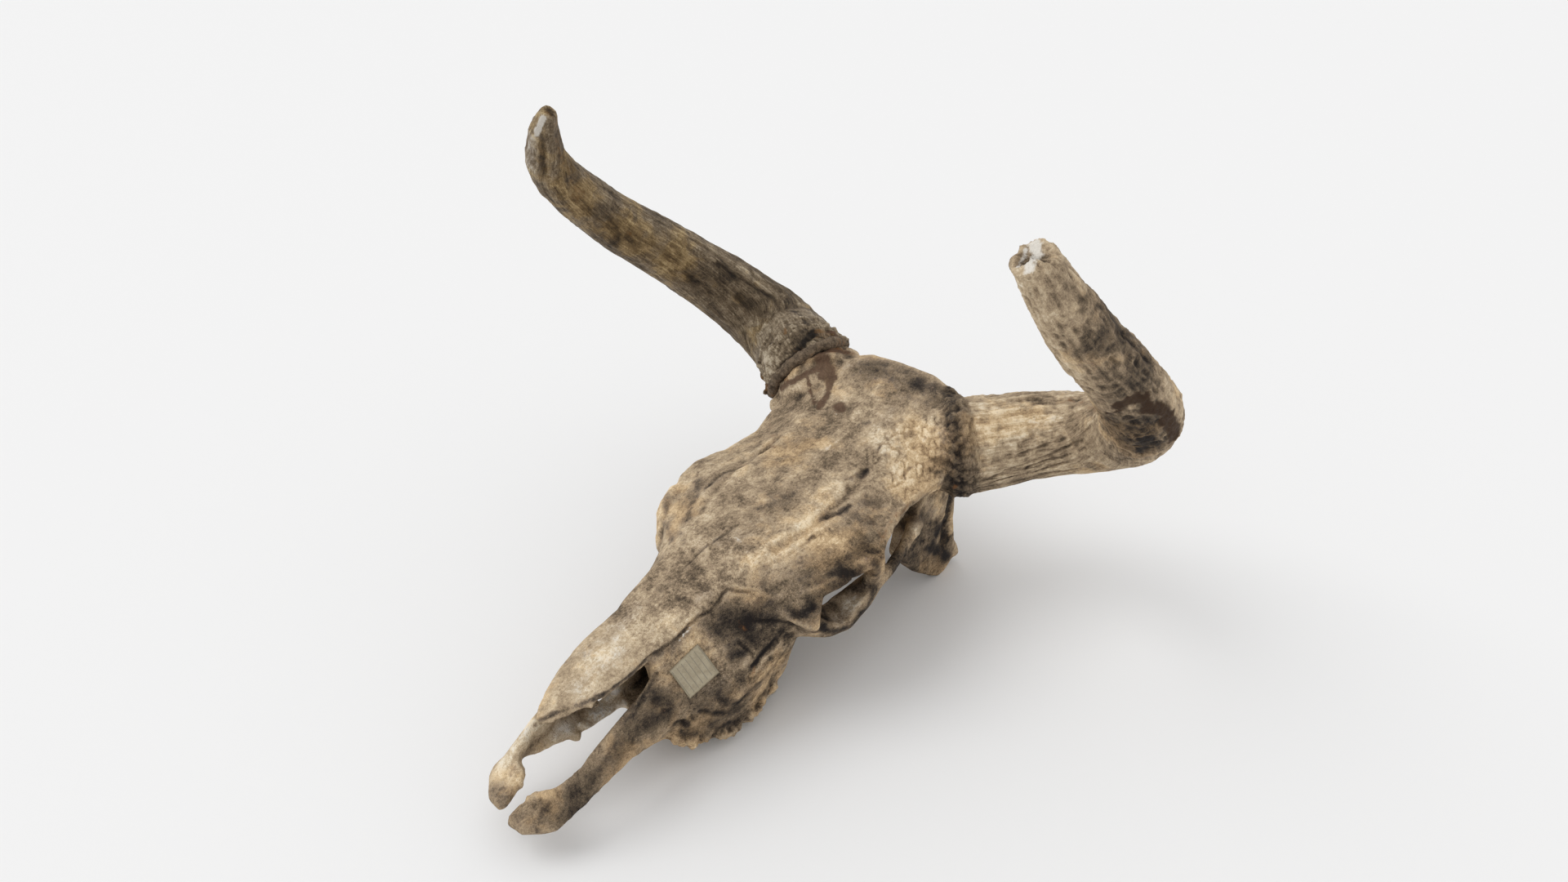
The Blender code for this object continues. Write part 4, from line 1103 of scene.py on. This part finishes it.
def skullRelief(look, points, surface, foldPath):
    spots, onHorn, past = leftHornShares(points)
    relief = hornRelief(points, spots, leftHorn) * onHorn
    relief += (1 - past) * lumps(points, look["uneven"])
    carve(relief, points, surface, skullCarving, wobbled(points), 0.85 + 0.35 * grain(points, 6, 31))
    folded = lineShare(points, foldPath, look["foldHalf"])
    relief -= folded * np.clip(skullFolds(points), 0, 1) ** 2 * look["foldDepth"]
    row = look["toothRow"]
    rowEdge = (1 - stepUp(points[:, 2], *row["height"])) * (1 - stepUp(points[:, 1], *row["rear"]))
    rowEdge = rowEdge * stepUp(points[:, 1], *row["front"])
    ragged = grain(points * (1, 1, 0.35), 8, 51) + 0.5 * grain(points, 4.5, 53)
    relief += rowEdge * (row["ragged"] * ragged - row["pits"] * np.clip(0.5 - cells(points, 9, 52), 0, 1))
    lip = look["rootLip"]
    relief += beside(points, "root_filler", lip["reach"]) * (lumps(points, lip["lumps"]) - lip["sunk"])
    end = look["brokenEnd"]
    broken = onHorn * stepUp(spots["run"], spots["length"] - end["from"], spots["length"] - end["to"])
    pits = np.clip(0.6 - cells(points, 4.5, 62), 0, 1)
    relief += broken * (end["rough"] * grain(points, 4, 61) - end["pits"] * pits)
    return relief


def weatherSkull(look, mesh, surface, foldPath, foldHalf):
    # The numbers that the bone finish reads: marks from the photo, then what depends on place and shape, with
    # painted shade in hollows, in the fold creases and on faces turned down.
    world, normals, links = meshPoints(mesh), meshNormals(mesh), meshLinks(mesh)
    points = inSkull(world)
    spots, onHorn, past = leftHornShares(points)
    plain = 1 - past
    burr = onHorn * burrShare(spots, leftHorn)
    folded = lineShare(points, foldPath, foldHalf)
    shares = markShares(points, surface, skullMarks)
    # Painted shade and dirt in hollows, and lighter ridges as wear, from how far the eased surface stands off
    fine = hollowness(world, normals, links, look["fineRounds"])
    wide = hollowness(world, normals, links, look["wideRounds"])
    shares["hollow"] = np.clip(fine * 0.9, -0.6, 1) + np.clip(wide * 0.16, -0.35, 1.2)
    # Painted shade on faces turned down; the bone is also made darker towards the bottom
    under = np.clip(-normals[:, 2], 0, 1) * plain
    below = 1 - stepUp(points[:, 2], *look["lowHeight"])
    shares["tone"] = (shares["tone"] - look["undersideShade"] * under - look["lowTone"] * below * plain
                      - look["burrTone"] * burr
                      + look["hornTone"] * past * (1 - stepUp(spots["run"], 200, 280)))
    # The dark share: marks and the burr's stain, darker towards the bottom, and painted shade in the fold
    # creases
    shares["stain"] = (np.maximum(shares["stain"], look["burrStain"] * burr)
                       + look["lowDarkening"] * below * plain
                       + look["foldCreaseShade"] * folded * np.clip(skullFolds(points), 0, 1) ** 3)
    lip = beside(points, "root_filler", look["lipReach"]) * (0.75 + 0.6 * grain(points, 8, 73))
    shares["tone"] -= look["lipTone"] * lip
    shares["stain"] += look["lipStain"] * lip
    rusty = look["lipRust"] * lip * stepUp(grain(points, 22, 74), -0.1, 0.5)
    shares["rust"] = np.maximum(shares["rust"], rusty)
    shares["fibrous"] = past * (1 - 0.7 * stepUp(spots["run"], 320, 390))
    forehead = stepUp(normals[:, 2], 0.3, 0.7) * stepUp(points[:, 1], -80, -20)
    bars = 1 - stepUp(points[:, 1], -240, -200)
    shares["calm"] = past + plain * (look["calmForehead"] * forehead + look["calmBars"] * bars)
    fluted = 1 - stepUp(spots["run"], 150, 215)
    shares["fluted"] = past * fluted * stepUp(-np.cos(spots["turn"]), -0.30, 0.40)
    setNumbers(mesh, shares)
    face = points * (1.0, 0.40, 1.0)
    flow = face * plain[:, None] + hornFlow(spots) * past[:, None]
    setVector(mesh, "flow", flow * mm)
    setVector(mesh, "longFlow", hornFlow(spots, 0.03) * mm)


def makeCranium(look, finish):
    surface = surfaceOf(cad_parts["cranium"].data)
    extras = []
    for seed, run in look["knobRings"]:
        ring = snapped(surface, ringRound(leftHorn, run))
        extras.append(scattered("burr_knobs", ring, {**burrKnobs, "seed": seed}, finish, True))
    edge = onEdge(surface, toothShards["pixels"])
    extras.append(scattered("tooth_row_shards", edge, toothShards, finish))
    for count, size, pixels in edgeBits:
        crumbs = {**edgeBitShape, "count": count, "size": size, "seed": edgeBitShape["seed"] + count}
        extras.append(scattered("edge_bits", onEdge(surface, pixels), crumbs, finish))
    skull = skinOf("cranium", "cranium_skin", look["voxel"], extras)
    mesh = skull.data
    world = smoothed(mesh, look["easing"])[0]
    surface = surfaceOf(mesh)
    foldPath = onSurface(surface, look["foldPath"])
    raised(mesh, world, skullRelief(look, inSkull(world), surface, foldPath))
    mesh = thinned(skull, look["mostFaces"])
    weatherSkull(skullWeather, mesh, surface, foldPath, look["foldHalf"])
    coat(mesh, finish)
    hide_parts("cranium")
    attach(skull, "root")
    print("cranium:", len(mesh.polygons), "faces")
    return skull


# The same for the right horn core
hornMarks = {
    "stain": [
        (10, 0.85, [(748, 274), (758, 290), (752, 300)]),
        (8, 0.80, [(767, 290), (779, 305)]),
        (10, 0.60, [(740, 262), (760, 280), (806, 305), (830, 318)]),
        (8, 0.70, [(825, 302), (836, 312)]),
        (9, 0.75, [(840, 331), (855, 349)]),
        (12, 0.85, [(905, 364), (918, 374), (934, 380)]),
        (6, 0.85, [(878, 322), (913, 346), (943, 363), (972, 381), (990, 398)]),
        (8, 0.50, [(820, 340), (850, 352), (880, 360)]),
        # These two rows follow the crack at the horn's base: a stain, with the shade down in the crack
        # painted dark as well
        (8, 1.10, [(997, 408), (980, 424), (967, 440), (958, 452)]),
        (5, 0.85, [(986, 404), (970, 420), (958, 436)]),
        (6, 0.75, [(664, 168), (663, 195), (665, 220)]),
        (5, 0.95, [(673, 134), (676, 140)]),
        (8, 0.55, [(700, 240), (730, 265)]),
        (8, 0.60, [(1020, 412), (1034, 418)]),
        (7, 0.90, [(938, 478), (944, 490)]),
        (14, 0.40, [(700, 205), (716, 232)]),
        (16, 0.35, [(870, 385), (900, 415), (928, 436)]),
    ],
    "tone": [
        (8, 0.14, [(869, 304), (899, 322), (928, 345), (958, 362)]),
        (20, 0.02, [(690, 215), (720, 245), (760, 275)]),
        (17, 0.11, [(915, 392), (945, 398), (968, 400)]),
        # Painted shade along the crack at the horn's base
        (8, -0.30, [(998, 408), (981, 424), (967, 440), (958, 452)]),
        (8, -0.12, [(1004, 418), (1020, 424), (1036, 430)]),
        (13, 0.10, [(920, 412), (940, 418), (952, 412)]),
        (20, 0.05, [(900, 395), (930, 425), (945, 440)]),
        (7, 0.16, [(935, 440), (944, 452)]),
        (7, 0.14, [(985, 441), (996, 431)]),
        (10, 0.26, [(650, 170), (649, 190), (652, 210)]),
        (24, -0.05, [(860, 330), (900, 360)]),
        (22, -0.06, [(905, 400), (935, 425)]),
        (9, 0.18, [(962, 452), (978, 442), (1000, 430)]),
    ],
    "cool": [
        (12, 0.70, [(650, 170), (648, 200), (655, 225)]),
        (16, 0.22, [(925, 396), (955, 402), (978, 408)]),
    ],
    "warm": [
        (26, 0.45, [(690, 190), (702, 231), (730, 265), (780, 300)]),
        (20, 0.40, [(820, 320), (870, 350)]),
    ],
    "rust": [
        (3.5, 1.0, [(961, 402), (962, 408)]),
        (5, 0.55, [(681, 147), (682, 165), (683, 182), (690, 200)]),
        (9, 0.60, [(696, 215), (703, 231), (712, 242)]),
        (6, 0.85, [(1000, 405), (1014, 409), (1030, 418), (1040, 428)]),
        (7, 0.90, [(932, 462), (940, 474), (952, 480)]),
        (6, 0.45, [(760, 275), (775, 290)]),
        (4, 0.60, [(671, 138), (674, 142)]),
    ],
    "white": [(4, 1.0, [(664, 144), (660, 154), (657, 164)])],
    "filler": [
        (4, 1.0, [(942, 472), (955, 474), (967, 466)]),
        (4, 1.0, [(1012, 424), (1024, 430), (1038, 430)]),
        (3, 0.9, [(1014, 406), (1024, 412), (1036, 420)]),
    ],
}
hornCarving = [  # half width, depth, pixels
    (2.0, 3.0, [(952, 452), (962, 443), (978, 430), (996, 412)]),
    (1.4, 2.0, [(960, 455), (972, 445), (990, 430)]),
    (1.4, 1.6, [(938, 456), (948, 444)]),
    (1.8, 1.4, [(902, 373), (937, 383), (972, 389), (987, 398), (990, 409)]),
    (1.8, 1.4, [(878, 322), (913, 346), (943, 363), (972, 381), (990, 398)]),
    (4.0, 3.0, [(672, 133), (675, 138)]),
]


def makeHorn(look, finish):
    surface = surfaceOf(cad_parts["right_horn_core"].data)
    ring = snapped(surface, ringRound(look, look["burrRun"] + look["knobRun"]))
    knobs = scattered("right_burr_knobs", ring, burrKnobs, finish, True)
    horn = skinOf("right_horn_core", "right_horn_core_skin", look["voxel"], [knobs])
    mesh = horn.data
    world, links = smoothed(mesh, look["easing"])
    surface = surfaceOf(mesh)
    points = inSkull(world)
    spots = hornPlaces(points, look)
    relief = hornRelief(points, spots, look)
    shares = markShares(points, surface, hornMarks)
    carve(relief, points, surface, hornCarving, 0, 0.7 + 0.5 * grain(points, 5, 8))
    base = beside(points, "root_filler", look["baseReach"])
    fissures = np.abs(grain(points @ wrinkleTurn * (0.45, 1.0, 1.0), 8.0, 75))
    cracked = look["fissureDepth"] * stepUp(fissures, 0.0, 0.35) - look["fissureSunk"]
    relief += 0.25 * grain(points, 9, 2) + base * cracked
    world = raised(mesh, world, relief)
    # Painted shade and dirt in hollows, and lighter ridges as wear
    hollow = hollowness(world, meshNormals(mesh), links, look["hollowRounds"])
    shares["hollow"] = np.clip(hollow * 0.9, -1, 1)
    root = 1 - stepUp(spots["run"], 75, 135)
    # Painted shade: darker down in the base's fissures, lighter between them
    shares["tone"] += 0.04 * root + base * 0.22 * (stepUp(fissures, 0.05, 0.30) - 0.75)
    shares["warm"] = shares["warm"] - 0.5 * root
    shares["rust"] = np.maximum(shares["rust"], 0.6 * base * stepUp(grain(points, 16, 76), 0.0, 0.5))
    shares["fibrous"] = np.full(len(points), 1.0)
    setNumbers(mesh, shares)
    setVector(mesh, "flow", hornFlow(hornPlaces(inSkull(world), look)) * mm)
    coat(mesh, finish)
    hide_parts("right_horn_core")
    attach(horn, "root")
    print("right horn core:", len(mesh.polygons), "faces")


# The bed of filler at the right root, in mm
fillerBed = {
    "voxel": 1.5,
    "easing": 6,
    "swell": 4.8,
    "lumps": [(10, 2.6, 71), (3.6, 1.1, 72)],
    "roughness": 0.82,
    "stops": [(0.20, (0.040, 0.030, 0.022)), (0.42, (0.110, 0.080, 0.055)), (0.60, (0.205, 0.152, 0.102)),
              (0.85, (0.340, 0.260, 0.175))],
    "rust": (0.210, 0.095, 0.040),
    "rustShare": 0.7,
    "bump": 2.0,
}


def fillerFinish(look):
    f = Finish("repairFiller", look["roughness"])
    cloud = f.noise(14, 4, 0.6) - 0.5
    lump = f.noise(5, 4, 0.6) - 0.5
    fine = f.noise(1.4, 3, 0.6) - 0.5
    colour = f.ramp((lump * 0.9 + fine * 0.6 + cloud * 0.4 + 0.5).clipped(), look["stops"])
    rusty = f.band(cloud + lump * 0.5, 0.10, 0.34) * look["rustShare"]
    f.feed(f.shader.inputs["Base Color"], f.mix(rusty, colour, look["rust"]))
    f.feed(f.shader.inputs["Normal"], f.relief(lump * 1.6 + cloud + fine * 0.6, look["bump"]))
    return f.material


def makeFiller(look, finish):
    bed = skinOf("root_filler", "root_filler_bed", look["voxel"])
    mesh = bed.data
    world = smoothed(mesh, look["easing"])[0]
    raised(mesh, world, look["swell"] + lumps(inSkull(world), look["lumps"]))
    coat(mesh, finish)
    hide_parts("root_filler")
    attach(bed, "root")
    print("filler:", len(mesh.polygons), "faces")


# The cheek teeth: the crown's worn face has sunk crescents of dentine between ridges of enamel
molars = {
    "nodes": ["left_molar_1", "left_molar_2", "left_molar_3",
              "right_molar_1", "right_molar_2", "right_molar_3"],
    "voxel": 0.7,
    "easing": 5,
    "wornHeight": 5.0,
    "crescentDepth": 1.3,
    "ribDepth": 0.5,
    "rootStain": (9, 20),  # heights over the worn face
    "roughness": 0.45,
    "stops": [(0.15, (0.050, 0.036, 0.022)), (0.40, (0.180, 0.140, 0.090)),
              (0.60, (0.380, 0.320, 0.230)), (0.85, (0.640, 0.590, 0.480))],
    "lobes": (-0.24, 0.26),  # middles of the two lobes, as shares of the tooth's length
}


def toothFinish(look):
    f = Finish("wornTooth", look["roughness"])
    cloud = f.noise(7, 4, 0.6)
    streak = f.noise(2.0, 3, 0.6, 0.0, f.vector("flow"))
    value = cloud * 0.5 + streak * 0.5 + f.number("tone")
    f.feed(f.shader.inputs["Base Color"], f.ramp(value.clipped(), look["stops"]))
    f.feed(f.shader.inputs["Roughness"], (0.65 - f.number("enamel") * 0.35).clipped())
    f.feed(f.shader.inputs["Normal"], f.relief(streak + cloud * 0.4, 0.5, 0.7))
    return f.material


def makeMolar(node, look, finish):
    tooth = skinOf(node, node + "_crown", look["voxel"])
    mesh = tooth.data
    world = smoothed(mesh, look["easing"])[0]
    points, normals = inSkull(world), meshNormals(mesh)
    low, high = points.min(axis=0), points.max(axis=0)
    middle, half = (low + high) / 2, (high - low) / 2
    flat = (points - middle) / half
    facing = np.clip(-normals[:, 2], 0, 1) ** 2 * (1 - stepUp(points[:, 2], 1.0, look["wornHeight"]))
    crescents = np.zeros(len(points))
    for lobe in look["lobes"]:
        reach = np.hypot((flat[:, 1] - lobe * 2) / 0.42, flat[:, 0] / 0.62)
        crescents = np.maximum(crescents, np.exp(-((reach - 0.62) / 0.17) ** 2))
    side = 1 - np.clip(np.abs(normals[:, 2]), 0, 1)
    ribs = np.cos(flat[:, 1] * 6.4 + grain(points, 12, 81) * 0.8)
    relief = side * (look["ribDepth"] * ribs + 0.35 * grain(points * (1, 1, 0.25), 2.6, 82))
    relief = relief - facing * crescents * look["crescentDepth"]
    relief += 0.18 * grain(points, 1.8, 83)
    raised(mesh, world, relief)
    rooted = stepUp(points[:, 2], low[2] + look["rootStain"][0], low[2] + look["rootStain"][1])
    setNumbers(mesh, {"tone": 0.10 - 0.30 * rooted - 0.26 * facing * crescents + 0.12 * facing,
                      "enamel": (1 - rooted) * (1 - facing * crescents)})
    setVector(mesh, "flow", points * (1, 1, 0.2) * mm)
    coat(mesh, finish)
    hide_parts(node)
    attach(tooth, "root")


# The blank label on the left cheek
label = {
    "middle": (63, -186.5, 127),
    "across": (0.42, 0.24, -0.88),
    "down": (-0.19, -0.94, -0.28),
    "size": (42.0, 41.5),
    "cells": 56,
    "lift": 0.7,
    "curl": 1.3,
    "curlFrom": 0.55,  # share of the way from the middle to the edge
    "searchFrom": 30,  # how far over the cheek the paper is let down from
    "thick": 0.4,
    "bridging": 30,  # rounds in which the paper leaves the small hollows
    "ruling": 6.3,
    "ruledHalf": (17.0, 18.5),  # where the ruled lines fade out at both ends
    "ink": (0.085, 0.085, 0.090),
    "inkShare": 0.62,
    "roughness": 0.85,
    "stops": [(0.10, (0.070, 0.055, 0.035)), (0.40, (0.275, 0.232, 0.160)),
              (0.60, (0.400, 0.345, 0.246)), (0.90, (0.520, 0.462, 0.345))],
}


def labelFinish(look):
    f = Finish("oldPaper", look["roughness"])
    apart = f.node("ShaderNodeSeparateXYZ", {}, {"Vector": f.vector("sheet")})
    across, down = f.wire(apart, 0), f.wire(apart, 1)
    cloud = f.noise(11, 4, 0.6, twist=0.5) - 0.5
    speck = f.noise(1.4, 3, 0.6) - 0.5
    line = down.math("PINGPONG", down + cloud * 0.5, look["ruling"] / 2)
    fadeFrom, fadeTo = look["ruledHalf"]
    ruled = (1 - f.band(line, 0.12, 0.62)) * f.band(across.math("ABSOLUTE", across), fadeTo, fadeFrom)
    # Painted shadow: the paper is darker along its rim
    value = cloud * 0.55 + speck * 0.3 - f.number("edge") * 0.22 + 0.56
    colour = f.ramp(value.clipped(), look["stops"])
    colour = f.mix(ruled * f.band(speck + cloud, -0.35, 0.15) * look["inkShare"], colour, look["ink"])
    f.feed(f.shader.inputs["Base Color"], colour)
    f.feed(f.shader.inputs["Normal"], f.relief(cloud + speck * 0.6, 0.35))
    return f.material


def makeLabel(look, skull, finish):
    surface = surfaceOf(skull.data)
    across = Vector(look["across"]).normalized()
    down = Vector(look["down"])
    down = (down - across * down.dot(across)).normalized()
    facing = across.cross(down)
    if facing.x < 0:
        facing = -facing
    wide = look["cells"] + 1
    halfWide, halfHigh = look["size"][0] / 2, look["size"][1] / 2
    shares = [k / look["cells"] * 2 - 1 for k in range(wide)]
    spots, sheet = [], []
    for b in shares:
        for a in shares:
            flat = Vector(look["middle"]) + across * a * halfWide + down * b * halfHigh
            start = Vector(inWorld(flat + facing * look["searchFrom"]))
            hit = surface.ray_cast(start, -facing)[0]
            spots.append(inSkull(np.array(hit if hit is not None else start)))
            sheet.append((a * halfWide, b * halfHigh, 0))
    sheet = np.array(sheet)
    spots = np.array(spots).reshape(wide, wide, 3)
    for _ in range(look["bridging"]):
        spots[1:-1, 1:-1] = (spots[:-2, 1:-1] + spots[2:, 1:-1] + spots[1:-1, :-2] + spots[1:-1, 2:]) / 4
        for side in (spots[0], spots[-1], spots[:, 0], spots[:, -1]):
            side[1:-1] = (side[:-2] + side[2:]) / 2
    reach = np.abs(sheet[:, :2]) / (np.array(look["size"]) / 2)
    edge, corner = reach.max(axis=1), reach.min(axis=1)
    lift = look["lift"] + look["curl"] * stepUp(edge, look["curlFrom"], 1.0) * (0.4 + 0.6 * corner)
    spots = spots.reshape(-1, 3) + np.array(facing) * lift[:, None]
    faces = []
    for row in range(look["cells"]):
        for column in range(look["cells"]):
            low = row * wide + column
            faces.append((low, low + 1, low + wide + 1, low + wide))
    mesh = bpy.data.meshes.new("paper_label_sheet")
    mesh.from_pydata([tuple(spot) for spot in inWorld(spots)], [], faces)
    if mesh.polygons[0].normal.dot(facing) < 0:
        mesh.flip_normals()
    setVector(mesh, "sheet", sheet)
    # The rim, where a painted shadow darkens the paper
    setNumbers(mesh, {"edge": stepUp(edge, 0.90, 1.0)})
    coat(mesh, finish)
    paper = addPiece("paper_label_sheet", mesh)
    mesh.shade_smooth()
    wall = paper.modifiers.new("wall", "SOLIDIFY")
    wall.thickness = look["thick"] * mm
    wall.offset = -1.0
    plainMesh(paper)
    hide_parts("paper_label")
    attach(paper, "root")
    print("label:", len(paper.data.polygons), "faces")


skull = makeCranium(skullSkin, boneFinish("oldBone", skullBone))
makeHorn(rightHorn, boneFinish("oldHornCore", hornBone))
makeFiller(fillerBed, fillerFinish(fillerBed))
toothCoat = toothFinish(molars)
for node in molars["nodes"]:
    makeMolar(node, molars, toothCoat)
print("molars ready")
makeLabel(label, skull, labelFinish(label))

studio = {
    "floorSize": 60,
    "floorColour": (0.86, 0.86, 0.86, 1),
    "floorRoughness": 0.9,
    "skyStrength": 0.84,
    "sunStrength": 0.78,
    "sunAngle": 40,  # degrees, wide and so soft
    "sunFrom": (-0.45, -0.35, 0.82),
    "clipEnd": 50,
}


def makeStage(look):
    bpy.ops.mesh.primitive_plane_add(size=look["floorSize"], location=(0, 0, 0))
    floor = bpy.context.object
    floor.name = "floor"
    material = bpy.data.materials.new("paleFloor")
    material.use_nodes = True
    shader = material.node_tree.nodes["Principled BSDF"]
    shader.inputs["Base Color"].default_value = look["floorColour"]
    shader.inputs["Roughness"].default_value = look["floorRoughness"]
    floor.data.materials.append(material)
    world = bpy.data.worlds.new("studio")
    bpy.context.scene.world = world
    world.use_nodes = True
    sky = world.node_tree.nodes["Background"]
    sky.inputs["Color"].default_value = (1, 1, 1, 1)
    sky.inputs["Strength"].default_value = look["skyStrength"]
    lamp = bpy.data.lights.new("softKey", "SUN")
    lamp.angle = math.radians(look["sunAngle"])
    lamp.energy = look["sunStrength"]
    key = bpy.data.objects.new("softKey", lamp)
    bpy.context.scene.collection.objects.link(key)
    key.rotation_euler = Vector(look["sunFrom"]).to_track_quat("Z", "Y").to_euler()
    bpy.context.scene.view_settings.view_transform = "Standard"
    lens = bpy.data.cameras.new("viewer")
    lens.lens = viewer["lens"]
    lens.sensor_width = viewer["sensor"]
    lens.clip_end = look["clipEnd"]
    camera = bpy.data.objects.new("viewer", lens)
    bpy.context.scene.collection.objects.link(camera)
    camera.location = Vector(eyePoint)
    turned = np.stack([viewRight, viewUp, viewBack], axis=1)
    camera.rotation_euler = Matrix(turned.tolist()).to_euler()
    bpy.context.scene.camera = camera
    print("stage")


makeStage(studio)
